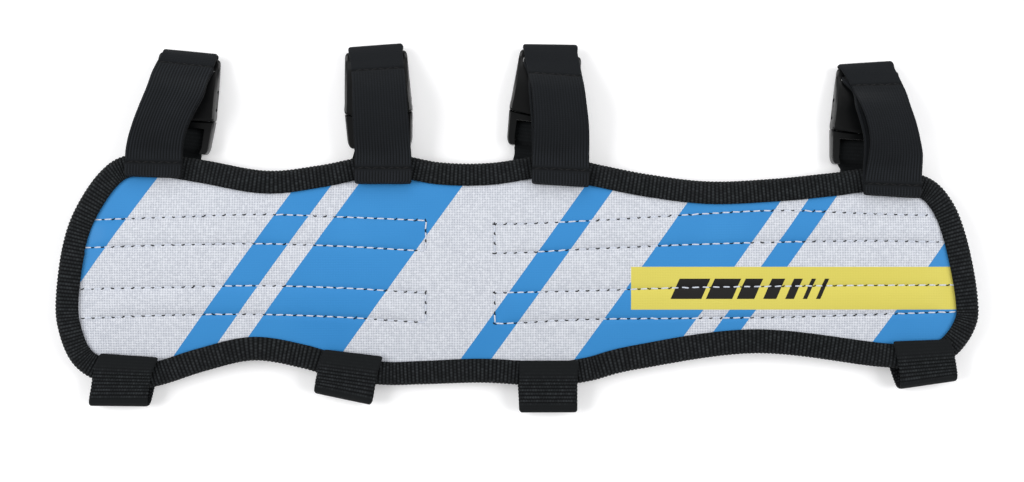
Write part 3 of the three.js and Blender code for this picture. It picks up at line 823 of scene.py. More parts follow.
@dataclass(frozen=True)
class RibbedTape:
    """Black woven tape whose ribs cross it, each rib a row of small yarn bumps.

    Attributes:
        name: name of the material.
        rib: pitch of the ribs along the tape.
        yarn: pitch of the bumps across the tape.
        dark: colour between the ribs, painted shade in the grooves.
        light: colour of the brightest bumps, a painted highlight on the rib crests.
        plain: how bright the tape is where no ribs show, from dark to light.
    """

    name: str
    rib: float = BINDING_RIB
    yarn: float = 1.08 * MM
    dark: tuple = srgb(9, 10, 11)
    light: tuple = srgb(46, 49, 51)
    plain: float = 0.2

    def material(self) -> Material:
        """The finish, drawn on the weave map, where ribs are whole steps along.

        Returns:
            The material.
        """
        shader = Shader(self.name, Roughness=0.85, Sheen_Weight=0.02, Specular_IOR_Level=0.05)
        vector, across, along = shader.weave_places()
        relief = shader.relief()
        step = shader.math("FLOOR", shader.math("DIVIDE", along, self.rib))
        bead = shader.wave(across, self.yarn, shader.times(step, math.pi))
        stagger = shader.scaled(step, 0.5, 0.25)
        place = shader.scaled(across, 1 / self.yarn, stagger)
        chance = shader.chance(shader.math("FLOOR", place), step)
        crest = shader.wave(along, self.rib, -math.pi / 2)
        wear = shader.noise(vector, 260.0)
        fibre = shader.noise(vector, 3200.0)
        speck = shader.scaled(shader.times(chance, chance), 0.7, 0.32)
        # Rib crests and yarn bumps are painted lighter and the grooves darker: painted highlight and shade.
        # The wear and speck noises are a random tone.
        level = shader.times(crest, shader.scaled(bead, 0.5, 0.5))
        level = shader.times(level, shader.scaled(wear, 0.5, speck))
        level = shader.sewn(level, relief, self.plain, dark=0.8)
        shader.colour(shader.mix(shader.scaled(fibre, 0.12, level), self.dark, self.light))
        height = shader.scaled(fibre, 0.3, shader.times(bead, relief))
        shader.bump(height, 0.18 * MM)
        return shader.material


@dataclass(frozen=True)
class KnittedElastic:
    """Black knitted elastic: ribs run along the band, with fine stitches on each rib.

    Attributes:
        rib: pitch of the ribs across the band.
        stitch: pitch of the stitches along it.
        dark: colour between the ribs, painted shade in the grooves.
        light: colour of the crests, a painted highlight.
        plain: how bright the band is where no ribs show, from dark to light.
    """

    rib: float = ELASTIC_RIB
    stitch: float = 0.75 * MM
    dark: tuple = srgb(10, 11, 12)
    light: tuple = srgb(36, 39, 43)
    plain: float = 0.3

    def material(self) -> Material:
        """The finish, drawn on the weave map, where ribs are whole steps across.

        Returns:
            The material.
        """
        shader = Shader("knitted_elastic", Roughness=0.88, Sheen_Weight=0.03, Specular_IOR_Level=0.08)
        vector, across, along = shader.weave_places()
        relief = shader.relief()
        crest = shader.wave(across, self.rib, -math.pi / 2)
        loop = shader.wave(along, self.stitch, shader.times(crest, 2.2))
        fibre = shader.noise(vector, 3000.0)
        patch = shader.noise(vector, 120.0)
        # The rib crests and stitch loops are painted lighter and the grooves darker: painted highlight and
        # shade, with a random patch tone.
        level = shader.scaled(crest, 0.62, shader.times(loop, 0.14))
        level = shader.times(level, shader.scaled(patch, 0.8, 0.6))
        level = shader.sewn(level, relief, self.plain, dark=1.0)
        shader.colour(shader.mix(shader.scaled(fibre, 0.14, level), self.dark, self.light))
        shader.bump(shader.scaled(fibre, 0.5, shader.times(loop, 0.5)), 0.10 * MM)
        return shader.material


@dataclass(frozen=True)
class MouldedPlastic:
    """Black moulded plastic with a fine satin grain."""

    dark: tuple = srgb(6, 7, 8)
    light: tuple = srgb(12, 13, 14)

    def material(self) -> Material:
        """The finish, drawn on the object's own places.

        Returns:
            The material.
        """
        shader = Shader("moulded_plastic", Specular_IOR_Level=0.26)
        vector, _, _ = shader.object_places()
        grain = shader.noise(vector, 5200.0)
        cloud = shader.noise(vector, 90.0)
        shader.colour(shader.mix(cloud, self.dark, self.light))
        shader.roughness(shader.scaled(cloud, 0.10, 0.26))
        shader.bump(grain, 0.02 * MM)
        return shader.material


@dataclass(frozen=True)
class SewingThread:
    """Twisted sewing thread.

    Attributes:
        name: name of the material.
        dark: colour between the plies, painted shade in the grooves between them.
        light: colour of the plies' tops, painted lighter as a highlight.
        ply: length of thread for one ply to pass.
    """

    name: str
    dark: tuple
    light: tuple
    ply: float = 0.5 * MM

    def material(self) -> Material:
        """The finish, drawn on the weave map: plies wind round as they go along.

        Returns:
            The material.
        """
        shader = Shader(self.name, Roughness=0.7, Sheen_Weight=0.04, Specular_IOR_Level=0.2)
        _, around, along = shader.weave_places()
        ply = shader.wave(along, self.ply, shader.times(around, 2 * math.pi))
        # The plies are painted lighter and the grooves between them darker: painted highlight and shade.
        shader.colour(shader.mix(ply, self.dark, self.light))
        shader.bump(ply, 0.05 * MM)
        return shader.material


# The panel

@dataclass(frozen=True)
class PanelForm:
    """Sizes of the bowed panel, and the heights of its faces."""

    thickness: float = 2.4 * MM
    edge_height: float = 5.2 * MM
    bow: float = 6 * MM
    bow_half_span: float = 42 * MM
    end_droop: float = 1.5 * MM
    droop_start: float = 120 * MM
    droop_run: float = 45 * MM
    puff: float = 0.7 * MM
    puff_fade: float = 9 * MM
    groove: float = 0.32 * MM
    groove_half: float = 0.55 * MM
    ripple: float = 0.10 * MM
    ripple_waves: tuple[float, float, float] = (21 * MM, 17 * MM, 23 * MM)
    channel_ends: tuple[float, float] = (-154 * MM, 153 * MM)

    def middle(self, x: Array, y: Array) -> Array:
        """Height of the middle surface: a shallow arch across, with drooping ends.

        The arch falls with the square of y, and the ends with the square of the way past their start.

        Args:
            x: places along the guard.
            y: places across it.

        Returns:
            The heights.
        """
        beyond = np.maximum(np.abs(x) - self.droop_start, 0) / self.droop_run
        arch = self.bow * (1 - (y / self.bow_half_span) ** 2)
        return self.edge_height + arch - self.end_droop * beyond ** 2

    def binding_top(self, x: Array, y: Array) -> Array:
        """Height of the solid binding's upper face, which carries the sewn strap ends."""
        return self.middle(x, y) + self.thickness / 2 + GAP + TAPE_WALL

    def stitch_rows(self, x: Array) -> Array:
        """Heights of the four stitch rows at x, from the top row down."""
        table = np.array(LEFT_CHANNELS + RIGHT_CHANNELS) * MM
        return smooth_through(table[:, 0], table[:, 1:], np.clip(x, table[0, 0], table[-1, 0])).T

    def sewn_share(self, x: Array) -> Array:
        """One along the channels, fading to zero at their ends and between the halves.

        Args:
            x: places along the guard.

        Returns:
            The share at each place.
        """
        left = np.minimum(x - self.channel_ends[0], LEFT_CHANNELS[-1].x * MM - x)
        right = np.minimum(x - RIGHT_CHANNELS[0].x * MM, self.channel_ends[1] - x)
        return eased(np.maximum(left, right) / self.puff_fade)

    def face(self, x: Array, y: Array) -> Array:
        """Height of the upper face: the arch, puffed channels, sewn grooves and a faint ripple.

        A puff falls off by a power of the distance from its channel's middle, a groove is a bell
        curve across its row, and the ripple is a product of slow waves.

        Args:
            x: places along the guard.
            y: places across it.

        Returns:
            The heights.
        """
        a, b, c, d = self.stitch_rows(x.ravel()).reshape(4, *x.shape)
        share = self.sewn_share(x)
        rise = np.zeros_like(x)
        for low, high, level in ((d, c, 1.0), (c, b, 0.5), (b, a, 1.0)):
            place = np.clip((y - low) / (high - low), 0, 1)
            rise += level * self.puff * share * (1 - np.abs(2 * place - 1) ** 2.6)
        for row in (a, b, c, d):
            rise -= self.groove * np.minimum(share * 3, 1) * np.exp(-((y - row) / self.groove_half) ** 2)
        along, wander, across = self.ripple_waves
        rise += self.ripple * np.sin(x / along + 1.7 * np.sin(y / wander)) * np.cos(y / across)
        return self.middle(x, y) + self.thickness / 2 + rise


class EdgeOutline:
    """The guard's outer edge, and offsets of it.

    Attributes:
        points: evenly spaced points of the edge.
        inward: unit direction inwards at each point.
        places: running length round the edge, with the whole length at its end.
    """

    def __init__(self, samples: int) -> None:
        """Sample the edge evenly, with its inward directions.

        Args:
            samples: number of points.
        """
        self.points = closed_curve(np.vstack([TOP_EDGE, BOTTOM_EDGE]), samples)
        along = unit(np.roll(self.points, -1, axis=0) - np.roll(self.points, 1, axis=0))
        self.inward = np.stack([along[:, 1], -along[:, 0]], axis=1)
        self.places = chord_places(np.vstack([self.points, self.points[:1]]))

    @property
    def length(self) -> float:
        """Length of the whole edge."""
        return float(self.places[-1])

    @property
    def area(self) -> float:
        """Area inside the edge, by the sum of cross products round it."""
        x, y = self.points.T
        return float(abs(np.sum(x * np.roll(y, -1) - y * np.roll(x, -1))) / 2)

    def sides(self, inset: float, x: Array) -> tuple[Array, Array]:
        """Lower and upper side of the edge, moved inwards, at stations along the guard.

        Args:
            inset: distance inwards.
            x: stations.

        Returns:
            The lower and the upper y at each station.
        """
        moved = self.points + inset * self.inward
        found = []
        for side in (1, -1):
            part = moved[side * self.inward[:, 1] > 0]
            part = part[np.argsort(part[:, 0])]
            found.append(np.interp(x, part[:, 0], part[:, 1]))
        return found[0], found[1]


@dataclass
class GuardPanel:
    """The bowed panel: printed cloth above and a lining below.

    Attributes:
        form: its sizes and heights.
        outline: the guard's outer edge.
        tuck: how far its rim stays inside the outer edge.
        end: how far the grid reaches along the guard.
        column: spacing of the grid's columns.
        square_end: where the grid's rows stop following the stitching.
        steps: grid rows between the stitch rows, from the bottom edge up.
        cloth_share: area of the cloth for each unit of the area inside the outer edge. Not used.
    """

    form: PanelForm
    outline: EdgeOutline
    tuck: float = 2.6 * MM
    end: float = 160.9 * MM
    column: float = 0.9 * MM
    square_end: float = 146 * MM
    steps: tuple[int, ...] = (14, 10, 12, 10, 16)
    cloth_share: float = 0.95

    def row_shares(self, x: Array) -> Array:
        """Share of the panel's width of each grid row at stations x, dense beside the stitching.

        Args:
            x: stations along the guard.

        Returns:
            The shares, a row for each grid row.
        """
        inner = np.clip(x, -self.square_end, self.square_end)
        low, high = self.outline.sides(self.tuck, inner)
        a, b, c, d = self.form.stitch_rows(inner)
        near = 1.5 * self.form.groove_half
        bounds = [low, d, c, b, a, high]
        rows = []
        for index, count in enumerate(self.steps):
            start = bounds[index] + (near if index else 0)
            stop = bounds[index + 1] - (near if index + 1 < len(self.steps) else 0)
            share = np.linspace(0, 1, count)[:, None]
            rows.append(start + share * (stop - start))
            if index + 1 < len(self.steps):
                rows.append(bounds[index + 1] + np.array([[-0.5], [0.0], [0.5]]) * near)
        return (np.vstack(rows) - low) / (high - low)

    def skin(self) -> Skin:
        """The closed panel: for each station, a ring over the upper face and back below.

        Returns:
            The closed panel, with the lining as its second material.
        """
        x = np.linspace(-self.end, self.end, int(2 * self.end / self.column))
        low, high = self.outline.sides(self.tuck, x)
        y = low + self.row_shares(x) * (high - low)
        wide = np.broadcast_to(x, y.shape)
        top = np.stack([wide, y, self.form.face(wide, y)], -1)
        under = np.stack([wide, y, self.form.middle(wide, y) - self.form.thickness / 2], -1)
        ring = np.concatenate([top, under[::-1]]).transpose(1, 0, 2)
        rows = len(y)
        finish = np.where(np.arange(2 * rows) < rows - 1, 0, 1)
        return Skin(ring[None], finish=finish)

    def build(self, bench: Bench, finishes: list[Material]) -> None:
        """Make the panel's piece.

        Args:
            bench: where the piece is put together.
            finishes: materials of the face and of the lining.
        """
        made = bench.make("panel_cloth", self.skin(), finishes, "panel")


def thread_skin(paths: Array, radius: Array | float, sides: int = 8, flat: float = 1.0) -> Skin:
    """Threads along short paths: an ellipse carried along each path.

    Args:
        paths: points of the threads, shaped batch, stations, three.
        radius: half width of the thread, or one for each station.
        sides: sides of the ellipse.
        flat: height of the ellipse for each unit of width.

    Returns:
        The closed threads, with places round and along them.
    """
    way = unit(np.gradient(paths, axis=1))
    side = unit(np.cross(way, np.array([0.0, 0.0, 1.0])))
    rise = flat * np.cross(side, way)
    angle = np.linspace(0, 2 * np.pi, sides, endpoint=False)
    size = np.broadcast_to(radius, paths.shape[1])[None, :, None, None]
    ring = np.cos(angle)[:, None] * side[:, :, None] + np.sin(angle)[:, None] * rise[:, :, None]
    steps = np.linalg.norm(np.diff(paths, axis=1), axis=2)
    along = np.concatenate([np.zeros((len(paths), 1)), np.cumsum(steps, axis=1)], axis=1)
    around = np.linspace(0, 1, sides + 1)
    places = np.stack(np.broadcast_arrays(around[None, None], along[:, :, None]), -1)
    return Skin(paths[:, :, None] + size * ring, places)


@dataclass
class ChannelStitching:
    """White top thread and black bobbin loops along the panel's channels.

    Attributes:
        form: the panel that they are sewn through.
        pitch: length of one stitch.
        shown: length of thread that shows between two needle points.
        radius: half width of the white thread.
        dot_radius: radius of the black thread.
        under: how far the rows run on below the binding at the right end.
        seed: seed of the small differences between stitches.
    """

    form: PanelForm
    pitch: float = 3.63 * MM
    shown: float = 2.85 * MM
    radius: float = 0.27 * MM
    dot_radius: float = 0.21 * MM
    under: float = 4 * MM
    seed: int = 7

    def lines(self) -> list[Array]:
        """Plan points of every stitched line: the rows, and the ends that join two rows.

        Returns:
            The points of each line.
        """
        found = []
        left = (self.form.channel_ends[0], LEFT_CHANNELS[-1].x * MM)
        right = (RIGHT_CHANNELS[0].x * MM, self.form.channel_ends[1] + self.under)
        for (start, stop), joint in ((left, left[1]), (right, right[0])):
            x = np.linspace(start, stop, 200)
            rows = self.form.stitch_rows(x)
            found += [np.stack([x, row], 1) for row in rows]
            ends = self.form.stitch_rows(np.array([joint]))[:, 0]
            for upper, lower in ((ends[0], ends[1]), (ends[2], ends[3])):
                y = np.linspace(upper, lower, 30)
                found.append(np.stack([np.full_like(y, joint), y], 1))
        return found

    def needle_points(self) -> tuple[Array, Array]:
        """Plan places of the stitches' first ends, and the ways that the stitches run.

        Returns:
            The places, and the way from each to the next.
        """
        starts, ways = [], []
        for line in self.lines():
            places = chord_places(line)
            count = max(int(round(places[-1] / self.pitch)), 1)
            at = np.linspace(0, places[-1], count + 1)
            points = np.stack([np.interp(at, places, column) for column in line.T], 1)
            starts.append(points[:-1])
            ways.append(np.diff(points, axis=0))
        return np.vstack(starts), np.vstack(ways)

    def on_face(self, plan: Array, lift: Array | float) -> Array:
        """Points on the panel's upper face, lifted by a height."""
        height = self.form.face(plan[..., 0], plan[..., 1]) + lift
        return np.concatenate([plan, height[..., None]], axis=-1)

    def build(self, bench: Bench, white: Material, black: Material) -> None:
        """Make both threads.

        A white stitch dips at its ends and arches between them. A black loop is a short dash
        at the needle point, bent in the middle. Each has its own turn and size.

        Args:
            bench: where the pieces are put together.
            white: finish of the top thread.
            black: finish of the bobbin thread.
        """
        starts, ways = self.needle_points()
        chance = np.random.default_rng(self.seed)
        one_each = (len(starts), 1, 1)
        along = unit(ways)[:, None]
        beside = np.stack([-along[..., 1], along[..., 0]], -1)
        share = np.linspace(-0.5, 0.5, 9)
        reach = share[None, :, None] * self.shown * chance.uniform(0.86, 1.08, one_each)
        tilt = np.radians(chance.normal(0, 3.2, one_each))
        plan = (starts + 0.5 * ways)[:, None] + reach * (np.cos(tilt) * along + np.sin(tilt) * beside)
        lift = self.radius * (0.55 - 9.0 * np.abs(share) ** 3)
        size = self.radius * np.sqrt(1 - (1.84 * share) ** 6)
        bench.make("channel_stitches", thread_skin(self.on_face(plan, lift), size, flat=0.7), [white])
        hook = np.array([(-0.72, 0.02), (-0.36, -0.08), (0.0, -0.12), (0.36, 0.0), (0.7, 0.16)]) * MM
        scale = chance.uniform(0.7, 1.1, one_each)
        tilt = np.radians(chance.normal(4, 14, one_each))
        forward = scale * (np.cos(tilt) * hook[None, :, :1] - np.sin(tilt) * hook[None, :, 1:])
        aside = scale * (np.sin(tilt) * hook[None, :, :1] + np.cos(tilt) * hook[None, :, 1:])
        plan = starts[:, None] + forward * along + aside * beside
        sunk = chance.uniform(0, 0.16 * MM, (len(starts), 1))
        lift = np.array([-0.05, 0.18, 0.26, 0.18, -0.05]) * MM - sunk
        loops = thread_skin(self.on_face(plan, lift), self.dot_radius, sides=6)
        bench.make("channel_bobbin_loops", loops, [black])


# The edge binding

@dataclass
class EdgeBinding:
    """One ribbed tape folded over the panel's whole edge.

    Attributes:
        form: the panel that it holds.
        width: how far each half of the tape reaches inwards at the guard's ends.
        wider: how much further it reaches at the bottom edge, and less at the top edge.
        wall: thickness of the tape.
        nose: depth of the rounded fold.
        rib: pitch of its ribs.
        rib_depth: depth of the grooves between the ribs.
        samples: grid rows for each rib.
        tape: width of the tape laid flat. Not used.
        uneven: short and slow wave of the ribs' unevenness.
        swells: size and wave of each swelling of its width.
        pinch: how far its inner edges press on the cloth.
        notch: how far its free edges draw back between the ribs.
    """

    form: PanelForm
    width: float = 8.6 * MM
    wider: float = 0.3 * MM
    wall: float = 0.9 * MM
    nose: float = 2.5 * MM
    rib: float = BINDING_RIB
    rib_depth: float = 0.35 * MM
    samples: int = 6
    tape: float = 20 * MM
    uneven: tuple[float, float] = (7.3 * MM, 31 * MM)
    swells: tuple[tuple[float, float], ...] = ((0.16 * MM, 37 * MM), (0.09 * MM, 11 * MM))
    pinch: float = 0.25 * MM
    notch: float = 0.2 * MM

    def section(self) -> tuple[Array, Array, Array, Array]:
        """Depth, rise, outward tilt and share of ribbing of each point of the folded section.

        Returns:
            One array for each of these four.
        """
        outer = self.form.thickness / 2 + GAP + TAPE_WALL
        inner = outer - self.wall
        fold = np.radians(np.array([72, 45, 20, -20, -45, -72]))
        flat = np.linspace(self.width, self.nose, 6)
        sunk = np.array([0.32, 0.20, 0.10, 0.04, 0.0, 0.0]) * MM
        depth = np.concatenate([
            flat, self.nose * (1 - np.cos(fold)), flat[::-1],
            [self.width, TAPE_WALL, TAPE_WALL, self.width]])
        rise = np.concatenate([
            outer - sunk, outer * np.sin(fold), -outer + sunk[::-1],
            [-inner + self.pinch, -inner, inner, inner - self.pinch]])
        tilt = np.concatenate([
            np.full(6, np.pi / 2), fold, np.full(6, -np.pi / 2), np.zeros(4)])
        ribbed = np.concatenate([[0.7], np.ones(16), [0.7], np.zeros(4)])
        return depth, rise, tilt, ribbed

    def build(self, bench: Bench, finish: Material) -> None:
        """Carry the section round the edge, with a groove between every two ribs.

        Args:
            bench: where the piece is put together.
            finish: its material.
        """
        ribs = round(EdgeOutline(EDGE_SAMPLES).length / self.rib)
        outline = EdgeOutline(ribs * self.samples)
        depth, rise, tilt, ribbed = self.section()
        at = outline.places[:-1] * ribs * self.rib / outline.length
        crest = ridges(at, self.rib)[:, None]
        short, slow = self.uneven
        level = 0.75 + 0.25 * np.sin(at / short + 2 * np.sin(at / slow))[:, None]
        dip = self.rib_depth * level * (1 - crest) * ribbed
        swell = sum(size * np.sin(at / wave) for size, wave in self.swells)
        swell = (swell + self.wider * outline.inward[:, 1])[:, None]
        inward = depth + swell * np.clip(depth / self.width, 0, 1) ** 2 + dip * np.cos(tilt)
        free = np.zeros_like(depth)
        free[[0, 17]] = 1  # the first and the last point of the outer face
        inward = inward - self.notch * (1 - crest) * free
        plan = outline.points[:, None] + inward[..., None] * outline.inward[:, None]
        height = self.form.middle(plan[..., 0], plan[..., 1]) + rise - dip * np.sin(tilt)
        points = np.concatenate([plan, height[..., None]], -1)
        around = chord_places(np.stack([depth, rise], 1))
        around = np.append(around, around[-1] + self.wall)
        along = np.append(at, ribs * self.rib)
        places = np.stack(np.broadcast_arrays(around[None], along[:, None]), -1)
        skin = Skin(points[None], places[None], wrap_rows=True, relief=np.ones(len(at)))
        made = bench.make("edge_tape", skin, [finish], "edge_binding")


# Straps

@dataclass
class BandPath:
    """A flat band's way: centre line, direction across, width and normal at stations."""

    centre: Array
    across: Array
    width: Array
    places: Array = field(init=False)
    normal: Array = field(init=False)

    def __post_init__(self) -> None:
        """Work out the running length and the normals, square to the band's width and way."""
        self.places = chord_places(self.centre)
        way = np.gradient(self.centre, self.places, axis=0)
        self.normal = unit(np.cross(self.across, way))

    def smoothed(self, step: float, floor: float = 0.0) -> "BandPath":
        """The same way through smooth curves.

        Args:
            step: length between two stations, which are closer at both ends.
            floor: the lowest height of the centre line.

        Returns:
            The smooth way.
        """
        even = np.linspace(0, self.places[-1], int(round(self.places[-1] / step)) + 1)
        fine = even[1] * np.array([0.12, 0.35])
        at = np.concatenate([even[:1], fine, even[1:-1], even[-1] - fine[::-1], even[-1:]])
        centre = smooth_through(self.places, self.centre, at)
        centre[:, 2] = np.maximum(centre[:, 2], floor)
        across = unit(smooth_through(self.places, self.across, at))
        return BandPath(centre, across, np.interp(at, self.places, self.width))

    def read(self, at: float) -> tuple[Array, Array, Array, float]:
        """Centre, across, normal and width at a running length."""
        centre, across, normal = (
            np.array([np.interp(at, self.places, part) for part in values.T])
            for values in (self.centre, self.across, self.normal))
        return centre, unit(across), unit(normal), float(np.interp(at, self.places, self.width))

    def points(self, side: Array, height: Array) -> Array:
        """Points beside the centre line, raised along the normal.

        Args:
            side: share of the half width, for each station and column.
            height: height along the normal, for each station and column.

        Returns:
            The points, shaped stations, columns, three.
        """
        reach = side * self.width[:, None] / 2
        return (self.centre[:, None] + reach[..., None] * self.across[:, None]
                + height[..., None] * self.normal[:, None])


def turned(turn: float, roll: float = 0.0) -> Array:
    """Unit vector across a band, from its turn in plan and its roll, in degrees."""
    a, b = math.radians(turn), math.radians(roll)
    return np.array([math.cos(a) * math.cos(b), math.sin(a) * math.cos(b), math.sin(b)])


@dataclass(frozen=True)
class BucklePlace:
    """A buckle's own frame: across, along its axis from the mouth, and up."""

    x: float
    y: float
    lean: float

    @classmethod
    def of(cls, plan: StrapPlan) -> "BucklePlace":
        """The place of a strap's buckle."""
        return cls(plan.mouth[0] * MM, plan.mouth[1] * MM, math.radians(plan.lean))

    def point(self, across: float, along: float, height: float) -> Array:
        """A place of the buckle's frame in the drawing's frame."""
        sine, cosine = math.sin(self.lean), math.cos(self.lean)
        return np.array([
            self.x + along * sine + across * cosine, self.y + along * cosine - across * sine, height])

    def along(self, points: Array) -> Array:
        """How far points lie along the buckle's axis."""
        return ((points[..., 0] - self.x) * math.sin(self.lean)
                + (points[..., 1] - self.y) * math.cos(self.lean))

    def matrix(self, shift: Array) -> Matrix:
        """Turn and move from the buckle's frame to the row frame."""
        place = (self.x + shift[0], self.y + shift[1], shift[2])
        return Matrix.Translation(place) @ Matrix.Rotation(-self.lean, 4, "Z")


def sewn_station(
    form: PanelForm, x: float, y: float, turn: float, lift: float, width: float,
) -> tuple[Array, Array]:
    """Station of a band sewn on the binding, whose two edges follow the binding's upper face.

    Args:
        form: the panel that the binding holds.
        x: place of the centre along the guard.
        y: place of the centre across the guard.
        turn: turn of the band's width, in degrees.
        lift: height of the centre over the binding.
        width: width of the band.

    Returns:
        The centre and the unit direction across the band.
    """
    way = turned(turn)
    left = form.binding_top(x - way[0] * width / 2, y - way[1] * width / 2)
    right = form.binding_top(x + way[0] * width / 2, y + way[1] * width / 2)
    level = max((left + right) / 2, form.binding_top(x, y))
    way[2] = (right - left) / width
    return np.array([x, y, level + lift]), unit(way)


def cross_stitches(path: BandPath, at: float, half: float, lift: float, slant: float) -> Array:
    """Paths of a row of stitches across a band.

    Args:
        path: the band.
        at: running length where the row crosses.
        half: half the band's thickness.
        lift: how far the threads rise over the band.
        slant: how far each stitch leans along the band.

    Returns:
        Points of the threads, shaped stitches, stations, three.
    """
    centre, across, normal, width = path.read(at)
    way = np.cross(normal, across)
    pitch, shown, sunk = 2.7 * MM, 2.2 * MM, 0.12 * MM
    count = int(width * 0.94 / pitch)
    middle = (np.arange(count) - (count - 1) / 2) * pitch
    share = np.linspace(-0.5, 0.5, 7)
    side = middle[:, None] + share * shown
    bow = half + lift * (1 - (2 * share) ** 2) - sunk
    lean = slant * share * np.where(np.arange(count) % 2, 1, -1)[:, None]
    return (centre + side[..., None] * across + np.broadcast_to(bow, side.shape)[..., None] * normal
            - lean[..., None] * way)


@dataclass
class ElasticBand:
    """A doubled knitted band, sewn on the top edge and looped round a socket's bar.

    Attributes:
        number: the strap's number.
        plan: where it goes.
        form: the panel that it is sewn on.
        thickness: thickness of one layer.
        layer_gap: gap between the two layers.
        slot_width: its width round the bar.
        spread: how much wider it is round the outside of the bar.
        turns: angles of its stations round the bar, in degrees.
        slot: places along and heights where it comes back through the slot.
        loop_radius: radius of its turn round the bar.
        bar: place of the bar along the buckle's axis, and its height.
        approach: place along and height of the last station before the slot.
        arrival: place along and height where it meets the bar.
        ribs: number of its lengthwise ribs.
        rib: pitch of the ribs on the weave map.
        rib_depth: depth of the grooves between ribs.
        rib_fade: where along the band its ribs start to fade, and over what length.
        step: length between two grid rows.
        seam_depth: how far a seam presses it in.
        seam_half: half the width of a seam's groove.
        press_half: half the width of the smooth stretch at the hem seam.
        corners: radius of the corners of the hem and of the fold.
        flare: how much wider it is at the hem, and over what length.
        puff: how far it bulges between the fold seam and the fold.
    """

    number: int
    plan: StrapPlan
    form: PanelForm
    thickness: float = 1.1 * MM
    layer_gap: float = 0.25 * MM
    slot_width: float = 18.7 * MM
    spread: float = 1.3 * MM
    turns: tuple[float, ...] = (56, 25, -5, -35, -65, -95, -125, -155, -185)
    slot: tuple[tuple[float, float], ...] = ((18.1 * MM, 5.2 * MM), (17.3 * MM, 6.6 * MM))
    loop_radius: float = 2.3 * MM
    bar: tuple[float, float] = (20.95 * MM, 3.8 * MM)
    approach: tuple[float, float] = (15 * MM, 10.4 * MM)
    arrival: tuple[float, float] = (18 * MM, 8.45 * MM)
    ribs: int = 19
    rib: float = ELASTIC_RIB
    rib_depth: float = 0.18 * MM
    rib_fade: tuple[float, float] = (9 * MM, 12 * MM)
    step: float = 0.45 * MM
    seam_depth: float = 0.28 * MM
    seam_half: float = 0.6 * MM
    press_half: float = 1.3 * MM
    corners: tuple[float, float] = (0.9 * MM, 0.8 * MM)
    flare: tuple[float, float] = (0.35 * MM, 14 * MM)
    puff: float = 0.2 * MM

    def path(self) -> BandPath:
        """The band's way: hem, front layer, loop round the bar, and back layer.

        Returns:
            The way, through its stations.
        """
        place = BucklePlace.of(self.plan)
        level = turned(-self.plan.lean)
        drift = self.plan.drift * MM
        spacing = self.thickness + self.layer_gap
        centre, across, width, opening = [], [], [], []
        for row in self.plan.elastic:
            if row.z is None:
                lift = spacing + self.thickness / 2 + GAP
                spot, way = sewn_station(
                    self.form, row.x * MM, row.y * MM, row.turn, lift, row.width * MM)
            else:
                spot, way = np.array([row.x, row.y, row.z]) * MM, turned(row.turn, row.roll)
            centre.append(spot)
            across.append(way)
            width.append(row.width * MM)
            opening.append(row.open * MM)
        wide = self.plan.neck * MM
        centre.append(place.point(drift, *self.approach))
        slack, turn, aside = self.plan.loop
        across.append(turned(0.6 * turn - self.plan.lean))
        width.append(wide)
        opening.append(0.2 * MM)
        front = len(centre)
        rest = [place.point(0.58 * drift, *self.arrival)]
        rest_across = [turned(0.8 * turn - self.plan.lean)]
        rest_width = [wide]
        for angle in np.radians(self.turns):
            outer = max(math.cos(angle), 0.0)
            rest.append(place.point(
                aside * MM * outer, self.bar[0] + self.loop_radius * math.cos(angle) + slack * MM * outer,
                self.bar[1] + self.loop_radius * math.sin(angle)))
            rest_across.append(turned(turn * outer - self.plan.lean))
            rest_width.append(self.slot_width + self.spread * outer)
        rest += [place.point(0, *spot) for spot in self.slot]
        rest_across += [level] * len(self.slot)
        rest_width += [self.slot_width] * len(self.slot)
        forward = BandPath(np.array(centre + rest[:1]), np.array(across + [level]), np.array(width + [wide]))
        back = (forward.centre - (spacing + np.append(opening, 0))[:, None] * forward.normal)[:front]
        offset, late = self.plan.aside
        share = (forward.places[:front] / forward.places[front - 1]) ** late
        back = back + (offset * MM * np.sin(np.pi * share))[:, None] * np.array(across)
        return BandPath(
            np.vstack([centre, rest, back[::-1]]),
            np.vstack([across, rest_across, across[::-1]]),
            np.concatenate([width, rest_width, width[::-1]]))

    def seam_line(self, places: Array, seams: tuple[float, float]) -> Array:
        """One on a seam and zero away from it, by a bell curve."""
        return sum(np.exp(-((places - seam) / self.seam_half) ** 2) for seam in seams)

    def relief(self, places: Array, seams: tuple[float, float], fold: float) -> Array:
        """How far the ribs show along the band.

        They fade at the hem seam and from the fold seam to behind the fold, and each seam is
        a dark line below zero.

        Args:
            places: running length of each station.
            seams: running lengths of the hem seam and the fold seam.
            fold: running length of the fold.

        Returns:
            The relief of each station.
        """
        pressed = np.exp(-((places - seams[0]) / self.press_half) ** 4)
        shown = 1 - (1 - self.plan.ribbing) * eased((places - self.rib_fade[0]) / self.rib_fade[1])
        above = smooth_at_fold(places, seams[1], 1.5 * MM, fold)
        ribbed = shown * (1 - 0.85 * pressed) * (1 - 0.85 * above)
        line = self.seam_line(places, seams)
        # Each seam line goes below zero, which the elastic's colour paints dark: painted shade in the seam's
        # groove.
        return ribbed * (1 - line) - line

